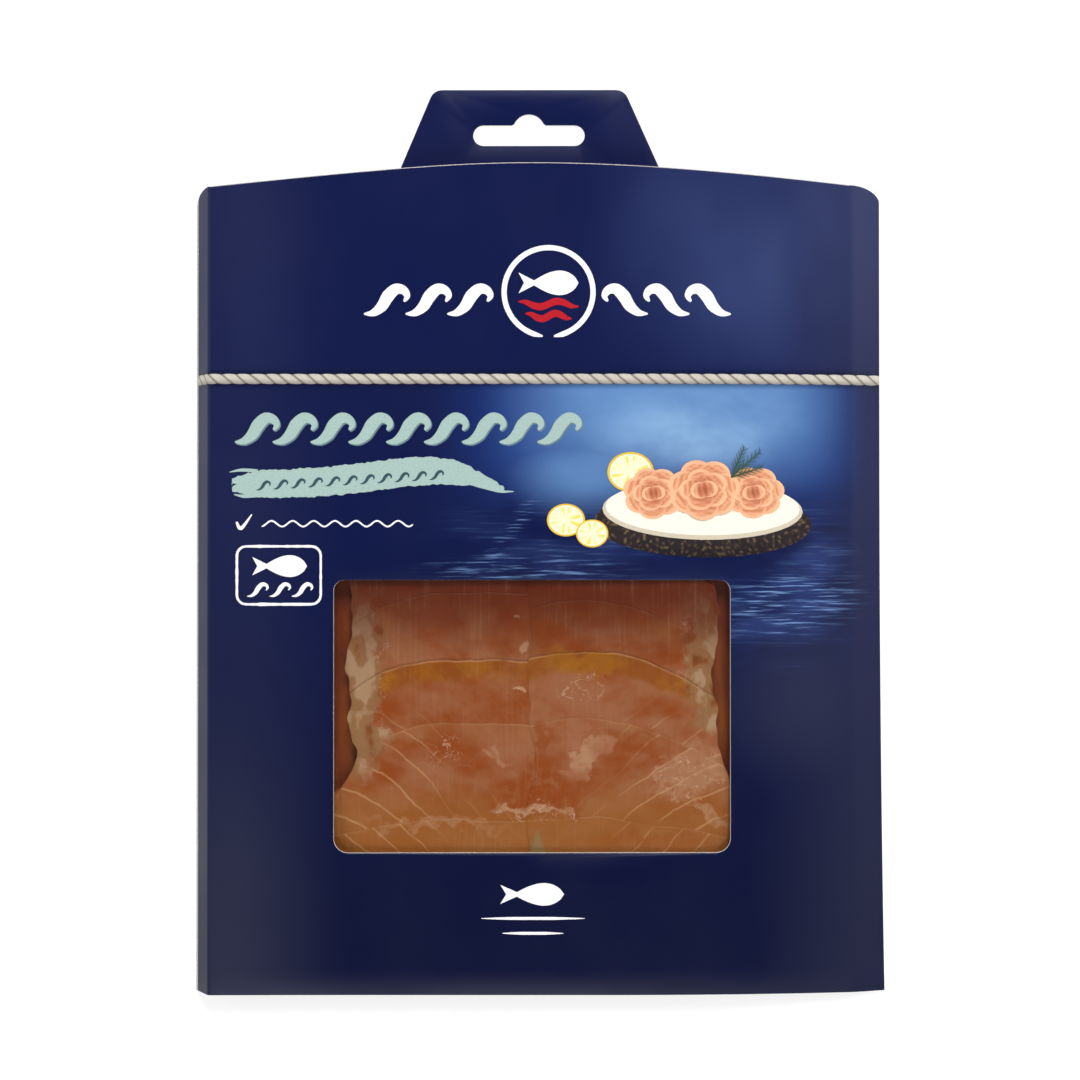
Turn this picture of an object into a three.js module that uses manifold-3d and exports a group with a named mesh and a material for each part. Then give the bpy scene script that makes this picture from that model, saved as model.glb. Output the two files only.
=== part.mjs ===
// A pack of sliced smoked salmon: a folded board sleeve with a window and a hang tab,
// and inside it the vacuum pouch with two columns of overlapping slices.
// Millimetres. The pack lies on its back: +X to the right, +Y towards the hang tab, +Z out of the front.
// The origin is the middle of the footprint, on the back face.
import * as THREE from "three";
import { mergeVertices } from "three/addons/utils/BufferGeometryUtils.js";
import Module from "manifold-3d";

const wasm = await Module();
wasm.setup();

// Board and overall size
const BOARD = 0.5; // thickness of the carton board
const BACK_LEFT_X = -98.5; // left fold of the back panel
const BACK_RIGHT_X = 97.3; // right fold of the back panel, above the flare
const BOTTOM_Y = -128.85; // open lower end of the sleeve
const CROWN_Y = 106.85; // top of the front panel's arch
const FLARE = 1.2; // the right side stands out by this at the lower end
const FLARE_LENGTH = 140.0; // and by less up to this far above it

// Cross-section of the sleeve: the front panel is narrower than the back, and sits off centre
const LEFT_FOLD_X = -94.0;
const RIGHT_FOLD_X = 88.5; // above the flare
const LEFT_FOLD_Z = 8.2; // the left flank stands steeply
const RIGHT_FOLD_Z = 3.0; // the right flank lies nearly flat
const PLATEAU_Z = 7.7; // front face over the contents
const PLATEAU_FROM_X = -40.0; // left of it the front face rises to the left fold
const PLATEAU_TO_X = 15.0; // right of it the front face bends down to the right fold
const BEND_POWER = 2.4; // how late the bend to the right sets in
const END_DROP = 0.35; // how much lower the front face is at the two open ends
const FOLD_BEVEL = 0.3; // width of the rounded edge along each fold
const FRONT_STEPS = 26;
const LENGTH_STEPS = 10;

// Top edge: a flat arch across the front, and quarter-ellipses over the flanks
const ARCH_CENTRE_X = -2.8;
const ARCH_ROUND = 5.14; // rounds the crown between the two nearly straight sides
const ARCH_LEFT_SLOPE = 0.119; // slope of those sides
const ARCH_RIGHT_SLOPE = 0.106;
const FLANK_TOP_Y = 95.6; // where the top edge meets the back folds
const ARCH_STEPS = 30;
const FLANK_ARC_STEPS = 6;

// Hang tab and its slot
const TAB_TOP_Y = 128.85;
const TAB_ROOT_Y = 104.3;
const TAB_TOP_LEFT_X = -30.6;
const TAB_TOP_RIGHT_X = 24.0;
const TAB_ROOT_LEFT_X = -41.0;
const TAB_ROOT_RIGHT_X = 35.0;
const TAB_FOOT_Y = 95.0; // buried in the back panel
const TAB_CORNER_R = 2.6;
const SLOT_CENTRE_X = -3.3;
const SLOT_BOTTOM_Y = 112.8;
const SLOT_LENGTH = 32.0;
const SLOT_HEIGHT = 5.9;
const HUMP_R = 4.6;
const HUMP_TOP_Y = 121.85;
const HUMP_FILLET_R = 1.2;

// Window in the front panel
const WINDOW_LEFT_X = -58.5;
const WINDOW_RIGHT_X = 53.7;
const WINDOW_TOP_Y = -11.55;
const WINDOW_BOTTOM_Y = -88.65;
const WINDOW_TOP_R = 3.0;
const WINDOW_BOTTOM_R = 4.0;
const WINDOW_CUT_FROM_Z = 3.5; // between the back and the front panel

// Vacuum pouch
const CLEARANCE = 0.3; // air between the pouch and the board
const POUCH_CENTRE_X = -2.8;
const POUCH_CENTRE_Y = -12.0;
const POUCH_HALF_WIDTH = 84.0;
const POUCH_HALF_LENGTH = 107.0;
const SEAL_THICKNESS = 0.7; // two films and the carrier board
const STACK_HALF_WIDTH = 64.0;
const STACK_HALF_LENGTH = 95.0;
const STACK_SQUARENESS = 5.0; // exponent of the stack's superellipse outline
const STACK_TOP_Z = 5.5;
const SHOULDER = 0.12; // share of the half width over which the film falls to the seal
const SLICE_PITCH = 16.5; // distance between the upper edges of two slices
const SLICE_STEP = 0.85; // how far an edge stands above the slice before it
const SLICE_EDGE = 1.3; // length of that step
const FIRST_EDGE_Y = 66.8; // highest point of the second slice's upper edge
const SEAM_X = -3.5; // where the two columns meet
const SEAM_DEPTH = 0.55;
const SEAM_HALF_WIDTH = 4.0;
const COLUMN_HALF_WIDTH = 30.0;
const ARC_OUTER_DROP = 9.0; // an upper edge drops by this at the outer side
const ARC_SEAM_DROP = 2.4; // and by this at the seam
const STACK_COLUMNS = 30;
const ARC_FADE_FROM = 76.0; // edges straighten between these distances from the middle
const ARC_FADE_TO = 100.0;

// Finishes
const NAVY_PRINT = { color: 0x1f2b5a, roughness: 0.38, metalness: 0 };
const SALMON_UNDER_FILM = { color: 0x9a5a38, roughness: 0.3, metalness: 0 };

// How far a cutting solid runs past the faces that it goes through
const OVERSHOOT = 4.0;
const CUTTER_TOP_Z = 20.0;
const ARC_SEGMENTS = 8;

// Turns a closed geometry into a solid
function solidOf(geometry) {
  const bare = geometry.clone();
  bare.deleteAttribute("normal");
  bare.deleteAttribute("uv");
  const merged = mergeVertices(bare);
  return new wasm.Manifold(
    new wasm.Mesh({
      numProp: 3,
      vertProperties: new Float32Array(merged.attributes.position.array),
      triVerts: new Uint32Array(merged.index.array),
    }),
  );
}

// Turns a solid back into a geometry with flat facets
function geometryOf(solid) {
  const mesh = solid.getMesh();
  const geometry = new THREE.BufferGeometry();
  geometry.setAttribute("position", new THREE.BufferAttribute(mesh.vertProperties, mesh.numProp));
  geometry.setIndex(new THREE.BufferAttribute(mesh.triVerts, 1));
  const facets = geometry.toNonIndexed();
  facets.computeVertexNormals();
  return facets;
}

// A prism with an outline in XY between two heights
function prism(shape, lowZ, highZ) {
  const geometry = new THREE.ExtrudeGeometry(shape, {
    depth: highZ - lowZ,
    bevelEnabled: false,
    curveSegments: ARC_SEGMENTS,
  });
  geometry.translate(0, 0, lowZ);
  return solidOf(geometry);
}

// How far the right side stands out at a place along Y
function flare(y) {
  const t = THREE.MathUtils.clamp((y - BOTTOM_Y) / FLARE_LENGTH, 0, 1);
  return FLARE * (1 - t) * (1 - t);
}

// Outer height of the front face above the back
function frontZ(x, y) {
  let z = PLATEAU_Z;
  if (x < PLATEAU_FROM_X) {
    const t = (PLATEAU_FROM_X - x) / (PLATEAU_FROM_X - LEFT_FOLD_X);
    z += (LEFT_FOLD_Z - PLATEAU_Z) * t * t;
  }
  if (x > PLATEAU_TO_X) {
    const t = (x - PLATEAU_TO_X) / (RIGHT_FOLD_X - PLATEAU_TO_X);
    z -= (PLATEAU_Z - RIGHT_FOLD_Z) * Math.pow(t, BEND_POWER);
  }
  const middle = (BOTTOM_Y + CROWN_Y) / 2;
  const fromMiddle = (y - middle) / (CROWN_Y - middle);
  return z - END_DROP * fromMiddle * fromMiddle * (z / PLATEAU_Z);
}

// Sharp-cornered section of the sleeve at one place along Y, as points (x, z), counter-clockwise
function section(y) {
  const points = [
    new THREE.Vector2(BACK_LEFT_X, 0),
    new THREE.Vector2(BACK_RIGHT_X + flare(y), 0),
  ];
  for (let i = FRONT_STEPS; i >= 0; i--) {
    const x = THREE.MathUtils.lerp(LEFT_FOLD_X, RIGHT_FOLD_X + flare(y), i / FRONT_STEPS);
    points.push(new THREE.Vector2(x, frontZ(x, y)));
  }
  return points;
}

// The same section with every wall moved inwards by a distance
function inset(points, distance) {
  return points.map((point, i) => {
    const before = points[(i + points.length - 1) % points.length];
    const after = points[(i + 1) % points.length];
    const in1 = point.clone().sub(before).normalize();
    const in2 = after.clone().sub(point).normalize();
    const normal1 = new THREE.Vector2(-in1.y, in1.x);
    const normal2 = new THREE.Vector2(-in2.y, in2.x);
    const mitre = normal1.clone().add(normal2).divideScalar(1 + normal1.dot(normal2));
    return point.clone().addScaledVector(mitre, distance);
  });
}

// The section with its four folds bevelled
function bevelled(points, width) {
  const folds = new Set([0, 1, 2, points.length - 1]);
  return points.flatMap((point, i) => {
    if (!folds.has(i)) return [point];
    const before = points[(i + points.length - 1) % points.length];
    const after = points[(i + 1) % points.length];
    const back = before.clone().sub(point).setLength(width);
    const on = after.clone().sub(point).setLength(width);
    return [point.clone().add(back), point.clone().add(on)];
  });
}

// A solid through sections of equal point count, set at places along Y
function loft(sections, places) {
  const count = sections[0].length;
  const positions = [];
  sections.forEach((points, row) => {
    points.forEach((p) => positions.push(p.x, places[row], p.y));
  });
  const index = [];
  for (let row = 0; row < sections.length - 1; row++) {
    for (let i = 0; i < count; i++) {
      const j = (i + 1) % count;
      const a = row * count + i;
      const b = row * count + j;
      index.push(a, b + count, b, a, a + count, b + count);
    }
  }
  const ends = [0, sections.length - 1];
  ends.forEach((row) => {
    const middle = positions.length / 3;
    const centre = sections[row].reduce((sum, p) => sum.add(p), new THREE.Vector2()).divideScalar(count);
    positions.push(centre.x, places[row], centre.y);
    for (let i = 0; i < count; i++) {
      const a = row * count + i;
      const b = row * count + ((i + 1) % count);
      if (row === 0) index.push(middle, a, b);
      else index.push(middle, b, a);
    }
  });
  const geometry = new THREE.BufferGeometry();
  geometry.setAttribute("position", new THREE.Float32BufferAttribute(positions, 3));
  geometry.setIndex(index);
  return solidOf(geometry);
}

// Height of the arched top edge above the row's X axis
function archY(x) {
  const slope = x < ARCH_CENTRE_X ? ARCH_LEFT_SLOPE : ARCH_RIGHT_SLOPE;
  return CROWN_Y + ARCH_ROUND - Math.hypot(ARCH_ROUND, slope * (x - ARCH_CENTRE_X));
}

// Quarter-ellipse over one flank, from the back fold up to the front fold
function flankArc(foldX, backX) {
  const foldY = archY(foldX);
  const points = [];
  for (let i = 0; i <= FLANK_ARC_STEPS; i++) {
    const angle = (Math.PI / 2) * (i / FLANK_ARC_STEPS);
    const x = foldX + (backX - foldX) * Math.cos(angle);
    const y = FLANK_TOP_Y + (foldY - FLANK_TOP_Y) * Math.sin(angle);
    points.push(new THREE.Vector2(x, y));
  }
  return points;
}

// Outline of the sleeve seen from the front, without the tab
function sleeveOutline() {
  const right = flankArc(RIGHT_FOLD_X, BACK_RIGHT_X);
  const left = flankArc(LEFT_FOLD_X, BACK_LEFT_X).reverse();
  const arch = [];
  for (let i = 1; i < ARCH_STEPS; i++) {
    const x = THREE.MathUtils.lerp(RIGHT_FOLD_X, LEFT_FOLD_X, i / ARCH_STEPS);
    arch.push(new THREE.Vector2(x, archY(x)));
  }
  const pastLeft = BACK_LEFT_X - OVERSHOOT;
  const pastRight = BACK_RIGHT_X + OVERSHOOT;
  return new THREE.Shape([
    new THREE.Vector2(pastLeft, BOTTOM_Y),
    new THREE.Vector2(pastRight, BOTTOM_Y),
    new THREE.Vector2(pastRight, FLANK_TOP_Y),
    ...right,
    ...arch,
    ...left,
    new THREE.Vector2(pastLeft, FLANK_TOP_Y),
  ]);
}

// Trapezium of the hang tab with rounded upper corners
function tabShape() {
  const shape = new THREE.Shape();
  const leftSide = new THREE.Vector2(TAB_TOP_LEFT_X - TAB_ROOT_LEFT_X, TAB_TOP_Y - TAB_ROOT_Y);
  const rightSide = new THREE.Vector2(TAB_TOP_RIGHT_X - TAB_ROOT_RIGHT_X, TAB_TOP_Y - TAB_ROOT_Y);
  leftSide.setLength(TAB_CORNER_R);
  rightSide.setLength(TAB_CORNER_R);
  shape.moveTo(TAB_ROOT_LEFT_X, TAB_FOOT_Y);
  shape.lineTo(TAB_ROOT_RIGHT_X, TAB_FOOT_Y);
  shape.lineTo(TAB_ROOT_RIGHT_X, TAB_ROOT_Y);
  shape.lineTo(TAB_TOP_RIGHT_X - rightSide.x, TAB_TOP_Y - rightSide.y);
  shape.quadraticCurveTo(TAB_TOP_RIGHT_X, TAB_TOP_Y, TAB_TOP_RIGHT_X - TAB_CORNER_R, TAB_TOP_Y);
  shape.lineTo(TAB_TOP_LEFT_X + TAB_CORNER_R, TAB_TOP_Y);
  shape.quadraticCurveTo(TAB_TOP_LEFT_X, TAB_TOP_Y, TAB_TOP_LEFT_X - leftSide.x, TAB_TOP_Y - leftSide.y);
  shape.lineTo(TAB_ROOT_LEFT_X, TAB_ROOT_Y);
  return shape;
}

// Round-ended hang slot with a filleted hump in the middle of its upper side
function slotShape() {
  const endR = SLOT_HEIGHT / 2;
  const midY = SLOT_BOTTOM_Y + endR;
  const topY = SLOT_BOTTOM_Y + SLOT_HEIGHT;
  const reach = SLOT_LENGTH / 2 - endR;
  const humpY = HUMP_TOP_Y - HUMP_R;
  const filletY = topY + HUMP_FILLET_R;
  const filletX = Math.sqrt((HUMP_R + HUMP_FILLET_R) ** 2 - (filletY - humpY) ** 2);
  const touch = Math.atan2(filletY - humpY, filletX);
  const down = -Math.PI / 2;
  const shape = new THREE.Shape();
  shape.moveTo(SLOT_CENTRE_X - reach, SLOT_BOTTOM_Y);
  shape.absarc(SLOT_CENTRE_X + reach, midY, endR, down, -down, false);
  shape.absarc(SLOT_CENTRE_X + filletX, filletY, HUMP_FILLET_R, down, touch - Math.PI, true);
  shape.absarc(SLOT_CENTRE_X, humpY, HUMP_R, touch, Math.PI - touch, false);
  shape.absarc(SLOT_CENTRE_X - filletX, filletY, HUMP_FILLET_R, -touch, down, true);
  shape.absarc(SLOT_CENTRE_X - reach, midY, endR, -down, -down + Math.PI, false);
  return shape;
}

// Window cut-out with rounded corners
function windowShape() {
  const shape = new THREE.Shape();
  const left = WINDOW_LEFT_X;
  const right = WINDOW_RIGHT_X;
  const quarter = Math.PI / 2;
  shape.moveTo(left + WINDOW_BOTTOM_R, WINDOW_BOTTOM_Y);
  shape.absarc(right - WINDOW_BOTTOM_R, WINDOW_BOTTOM_Y + WINDOW_BOTTOM_R, WINDOW_BOTTOM_R, -quarter, 0);
  shape.absarc(right - WINDOW_TOP_R, WINDOW_TOP_Y - WINDOW_TOP_R, WINDOW_TOP_R, 0, quarter);
  shape.absarc(left + WINDOW_TOP_R, WINDOW_TOP_Y - WINDOW_TOP_R, WINDOW_TOP_R, quarter, 2 * quarter);
  shape.absarc(
    left + WINDOW_BOTTOM_R,
    WINDOW_BOTTOM_Y + WINDOW_BOTTOM_R,
    WINDOW_BOTTOM_R,
    2 * quarter,
    3 * quarter,
  );
  return shape;
}

// Folded board: an open-ended flat tube with its window, arched top edge, tab and slot
function cartonSleeve() {
  const places = [];
  for (let i = 0; i <= LENGTH_STEPS; i++) {
    places.push(THREE.MathUtils.lerp(BOTTOM_Y - OVERSHOOT, CROWN_Y + OVERSHOOT, i / LENGTH_STEPS));
  }
  const tunnelPlaces = places.map((y) => y);
  tunnelPlaces[0] -= OVERSHOOT;
  tunnelPlaces[LENGTH_STEPS] += OVERSHOOT;
  const outer = loft(places.map((y) => bevelled(section(y), FOLD_BEVEL)), places);
  const tunnel = loft(places.map((y) => inset(section(y), BOARD)), tunnelPlaces);
  const outline = prism(sleeveOutline(), -OVERSHOOT, CUTTER_TOP_Z);
  const window = prism(windowShape(), WINDOW_CUT_FROM_Z, CUTTER_TOP_Z);
  const tab = prism(tabShape(), 0, BOARD);
  const slot = prism(slotShape(), -OVERSHOOT, CUTTER_TOP_Z);
  return geometryOf(outer.intersect(outline).add(tab).subtract(tunnel).subtract(window).subtract(slot));
}

// 1 inside the stack of slices, falling to 0 at its outline
function stackShare(x, y) {
  const u = Math.abs((x - POUCH_CENTRE_X) / STACK_HALF_WIDTH);
  const v = Math.abs((y - POUCH_CENTRE_Y) / STACK_HALF_LENGTH);
  const radius = Math.pow(Math.pow(u, STACK_SQUARENESS) + Math.pow(v, STACK_SQUARENESS), 1 / STACK_SQUARENESS);
  return Math.sqrt(THREE.MathUtils.clamp((1 - radius) / SHOULDER, 0, 1));
}

// How far a slice's upper edge lies below its highest point, at a place across the pack
function edgeDrop(x) {
  const offset = Math.abs(x - SEAM_X) / COLUMN_HALF_WIDTH - 1;
  return offset > 0 ? ARC_OUTER_DROP * Math.min(offset, 1) ** 3 : ARC_SEAM_DROP * offset * offset;
}

// How much of that arch a row of points has: none at the two ends of the pouch
function arcFade(y) {
  return 1 - THREE.MathUtils.smoothstep(Math.abs(y - POUCH_CENTRE_Y), ARC_FADE_FROM, ARC_FADE_TO);
}

// Height of the film, where a slice's upper edge is a step and its surface falls from there downwards
function pouchZ(x, y, fallen) {
  const share = stackShare(x, y);
  const seam = Math.max(0, 1 - Math.abs(x - SEAM_X) / SEAM_HALF_WIDTH);
  const relief = SLICE_STEP * (1 - fallen) - SEAM_DEPTH * seam;
  const low = BOARD + CLEARANCE + SEAL_THICKNESS;
  const top = low + (STACK_TOP_Z + relief - low) * share;
  return Math.min(top, frontZ(x, y) - BOARD - CLEARANCE);
}

// Rows of the pouch from top to bottom: place along Y, and share of a slice's fall reached there
function pouchRows() {
  const top = POUCH_CENTRE_Y + POUCH_HALF_LENGTH;
  const bottom = POUCH_CENTRE_Y - POUCH_HALF_LENGTH;
  const stackTop = POUCH_CENTRE_Y + STACK_HALF_LENGTH;
  const stackBottom = POUCH_CENTRE_Y - STACK_HALF_LENGTH;
  const rows = [
    [top, 1],
    [stackTop, 1],
    [(stackTop + FIRST_EDGE_Y) / 2, 1],
  ];
  const lastEdge = stackBottom + SLICE_PITCH;
  for (let y = FIRST_EDGE_Y; y > lastEdge; y -= SLICE_PITCH) {
    rows.push([y, 1]);
    rows.push([y - SLICE_EDGE, 0]);
    rows.push([y - SLICE_PITCH / 2, 1 / 2]);
  }
  const last = rows[rows.length - 1][0];
  rows.push([(last + stackBottom) / 2, 1]);
  rows.push([stackBottom, 1]);
  rows.push([bottom, 1]);
  return rows;
}

// Places across the pouch
function pouchColumns() {
  const xs = [POUCH_CENTRE_X - POUCH_HALF_WIDTH];
  for (let i = 0; i <= STACK_COLUMNS; i++) {
    xs.push(POUCH_CENTRE_X + STACK_HALF_WIDTH * ((2 * i) / STACK_COLUMNS - 1));
  }
  xs.push(POUCH_CENTRE_X + POUCH_HALF_WIDTH);
  return xs;
}

// A flat-backed solid over a grid of points, with rows from +Y to -Y and columns from -X to +X
function reliefSolid(grid, baseZ) {
  const rows = grid.length;
  const columns = grid[0].length;
  const at = (row, column) => row * columns + column;
  const positions = grid.flat().flatMap((p) => [p.x, p.y, p.z]);
  const index = [];
  for (let r = 0; r < rows - 1; r++) {
    for (let c = 0; c < columns - 1; c++) {
      index.push(at(r, c), at(r + 1, c), at(r + 1, c + 1));
      index.push(at(r, c), at(r + 1, c + 1), at(r, c + 1));
    }
  }
  const rim = [];
  for (let r = 0; r < rows - 1; r++) rim.push(at(r, 0));
  for (let c = 0; c < columns - 1; c++) rim.push(at(rows - 1, c));
  for (let r = rows - 1; r > 0; r--) rim.push(at(r, columns - 1));
  for (let c = columns - 1; c > 0; c--) rim.push(at(0, c));
  const flat = grid.flat();
  const first = flat.length;
  rim.forEach((i) => positions.push(flat[i].x, flat[i].y, baseZ));
  const middle = positions.length / 3;
  positions.push((flat[0].x + flat[first - 1].x) / 2, (flat[0].y + flat[first - 1].y) / 2, baseZ);
  rim.forEach((top, i) => {
    const next = (i + 1) % rim.length;
    index.push(top, first + i, first + next, top, first + next, rim[next]);
    index.push(middle, first + next, first + i);
  });
  const geometry = new THREE.BufferGeometry();
  geometry.setAttribute("position", new THREE.Float32BufferAttribute(positions, 3));
  geometry.setIndex(index);
  return solidOf(geometry);
}

// Sealed pouch: a flat seal all round and the film drawn down over the overlapping slices
function vacuumPouch() {
  const columns = pouchColumns();
  const grid = pouchRows().map(([rowY, fallen]) =>
    columns.map((x) => {
      const y = rowY - edgeDrop(x) * arcFade(rowY);
      return new THREE.Vector3(x, y, pouchZ(x, y, fallen));
    }),
  );
  return geometryOf(reliefSolid(grid, BOARD + CLEARANCE));
}

// A named mesh with its own finish
function piece(name, geometry, finish) {
  const material = new THREE.MeshStandardMaterial(finish);
  const mesh = new THREE.Mesh(geometry, material);
  mesh.name = name;
  return mesh;
}

const pack = new THREE.Group();
pack.add(piece("carton_sleeve", cartonSleeve(), NAVY_PRINT));
pack.add(piece("vacuum_pouch", vacuumPouch(), SALMON_UNDER_FILM));

export default pack;
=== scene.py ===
"""A pack of sliced smoked salmon, dressed for rendering.

A printed board sleeve with a hang tab and a window holds a clear vacuum pouch.
In the pouch, two columns of overlapping slices lie on a carrier card.
Shapes are worked out in millimetres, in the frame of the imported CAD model,
and every finished mesh is scaled to metres.
"""

import logging
import math
import random
from dataclasses import dataclass, field
from enum import Enum
from typing import Callable, Sequence

import bmesh
import bpy
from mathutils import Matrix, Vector, noise


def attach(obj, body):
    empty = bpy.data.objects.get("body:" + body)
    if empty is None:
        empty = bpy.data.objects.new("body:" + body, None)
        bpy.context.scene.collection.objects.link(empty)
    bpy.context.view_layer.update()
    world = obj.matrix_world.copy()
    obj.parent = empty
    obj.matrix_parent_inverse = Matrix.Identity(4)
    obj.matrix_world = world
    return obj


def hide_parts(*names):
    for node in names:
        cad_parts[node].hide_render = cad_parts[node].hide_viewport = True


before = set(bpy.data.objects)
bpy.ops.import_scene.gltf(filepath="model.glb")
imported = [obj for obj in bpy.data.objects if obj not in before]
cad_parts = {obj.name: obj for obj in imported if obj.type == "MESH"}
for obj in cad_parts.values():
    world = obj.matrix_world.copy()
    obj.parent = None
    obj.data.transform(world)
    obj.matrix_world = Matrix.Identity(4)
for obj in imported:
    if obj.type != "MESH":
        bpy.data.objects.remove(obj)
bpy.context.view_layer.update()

MM = 0.001
FULL_TURN = 360.0
ROOT_BODY = "root"

Colour = tuple[float, float, float, float]
Point = tuple[float, float]
Span = tuple[float, float]
BMesh = bmesh.types.BMesh
Edge = bmesh.types.BMEdge
Vert = bmesh.types.BMVert
Material = bpy.types.Material
Piece = bpy.types.Object
Socket = bpy.types.NodeSocket

log = logging.getLogger("salmon_pack")


class Slot(Enum):
    """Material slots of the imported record."""

    BOARD = "printed_board"
    FISH = "sliced_salmon_under_film"


class Side(Enum):
    """The two columns of slices, by the sign of their direction from the seam."""

    LEFT = -1
    RIGHT = 1


# Small helpers


def linear(red: float, green: float, blue: float) -> Colour:
    """Turns a screen colour into a linear one.

    Args:
        red: red from 0 to 255.
        green: green from 0 to 255.
        blue: blue from 0 to 255.

    Returns:
        The linear colour with full alpha.
    """

    def channel(value: float) -> float:
        """One channel, by the sRGB curve."""
        share = value / 255
        return share / 12.92 if share <= 0.04045 else ((share + 0.055) / 1.055) ** 2.4

    return (channel(red), channel(green), channel(blue), 1.0)


def clamp(value: float, low: float = 0.0, high: float = 1.0) -> float:
    """The value, held between two limits."""
    return max(low, min(high, value))


def clamp_index(index: int, count: int) -> int:
    """An index held inside a list."""
    return max(0, min(count - 1, index))


def lerp(start: float, end: float, share: float) -> float:
    """The value at a share of the way from start to end."""
    return start + (end - start) * share


def smooth(low: float, high: float, value: float) -> float:
    """0 at low, 1 at high, and a smooth rise between them."""
    share = clamp((value - low) / (high - low))
    return share * share * (3 - 2 * share)


def ripple(x: float, y: float, size: float, seed: float = 0.0) -> float:
    """Smooth noise of about -1 to 1 over a plane, with lumps of the given size."""
    return noise.noise(Vector((x / size, y / size, seed)))


def spaced(start: float, end: float, steps: int) -> list[float]:
    """Evenly spaced values from start to end, both included."""
    return [lerp(start, end, i / steps) for i in range(steps + 1)]


def around(centre: Point, radii: Point, angle: float) -> Point:
    """Point of an upright ellipse at an angle in radians."""
    return (centre[0] + radii[0] * math.cos(angle), centre[1] + radii[1] * math.sin(angle))


def make_grid(bm: BMesh, columns: int, rows: int, place: Callable[[int, int], Vector]) -> list[Vert]:
    """Makes a grid and moves each of its points to its place.

    Args:
        bm: the mesh that takes the grid.
        columns: number of points across.
        rows: number of points along.
        place: gives the place of the point in a column and row.

    Returns:
        The points of the grid.
    """
    made = bmesh.ops.create_grid(bm, x_segments=columns - 1, y_segments=rows - 1, size=1.0)
    for vert in made["verts"]:
        column = round((vert.co.x + 1) / 2 * (columns - 1))
        row = round((vert.co.y + 1) / 2 * (rows - 1))
        vert.co = place(column, row)
    return made["verts"]


def make_loop(bm: BMesh, points: Sequence[Point], closed: bool = True) -> list[Edge]:
    """Adds a chain of edges through flat points.

    Args:
        bm: the mesh that takes the edges.
        points: places in the plane.
        closed: whether the last point joins the first.

    Returns:
        The new edges.
    """
    verts = [bm.verts.new((x, y, 0.0)) for x, y in points]
    pairs = list(zip(verts, verts[1:]))
    if closed:
        pairs.append((verts[-1], verts[0]))
    return [bm.edges.new(pair) for pair in pairs]


def fill(bm: BMesh, edges: Sequence[Edge], up: int = 1) -> list:
    """Fills a flat outline with the holes in it, and gives what it made."""
    return bmesh.ops.triangle_fill(bm, use_beauty=True, edges=edges, normal=(0, 0, up))["geom"]


def make_object(bm: BMesh, name: str, materials: Sequence[Material]) -> Piece:
    """Turns a mesh in millimetres into a piece in metres, with its place in its mesh.

    Args:
        bm: the finished mesh, which is freed.
        name: the name of the piece.
        materials: its materials, in slot order.

    Returns:
        The new object.
    """
    bmesh.ops.scale(bm, vec=Vector((MM, MM, MM)), verts=bm.verts)
    mesh = bpy.data.meshes.new(name)
    bm.to_mesh(mesh)
    bm.free()
    for material in materials:
        mesh.materials.append(material)
    piece = bpy.data.objects.new(name, mesh)
    bpy.context.scene.collection.objects.link(piece)
    return piece


def add_wall(piece: Piece, thickness: float) -> None:
    """Gives a sheet its thickness in millimetres, on its lower side."""
    wall = piece.modifiers.new("wall", "SOLIDIFY")
    wall.thickness = thickness * MM
    wall.offset = -1.0


def add_bevel(piece: Piece, width: float, sharp_degrees: float) -> None:
    """Rounds the edges sharper than an angle, over a width in millimetres."""
    edge = piece.modifiers.new("soft_edges", "BEVEL")
    edge.width = width * MM
    edge.segments = 2
    edge.limit_method = "ANGLE"
    edge.angle_limit = math.radians(sharp_degrees)


def apply_modifiers(piece: Piece) -> None:
    """Turns the modifiers of a piece into mesh."""
    graph = bpy.context.evaluated_depsgraph_get()
    mesh = bpy.data.meshes.new_from_object(piece.evaluated_get(graph))
    piece.modifiers.clear()
    piece.data = mesh


def finish_piece(piece: Piece, slot: Slot, *nodes: str, sharp_degrees: float | None = None) -> None:
    """Shades a piece, hangs it on the body and hides the parts of the CAD model that it replaces.

    Args:
        piece: the piece.
        slot: the material slot of its finish; not used.
        nodes: the nodes of the CAD model that it replaces.
        sharp_degrees: angle from which edges stay sharp, or None for flat faces.
    """
    if sharp_degrees is not None:
        piece.data.shade_smooth()
        piece.data.set_sharp_from_angle(angle=math.radians(sharp_degrees))
    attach(piece, ROOT_BODY)
    if nodes:
        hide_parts(*nodes)
    piece.data.validate()
    log.info("%s: %d faces", piece.name, len(piece.data.polygons))


# Node trees


@dataclass(frozen=True)
class Spot:
    """A soft elliptical spot in millimetres.

    It is turned counter-clockwise by some degrees, and full from the share of the way in
    that core gives.
    """

    centre: Point
    radii: Point
    turn: float = 0.0
    core: float = 0.9


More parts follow.
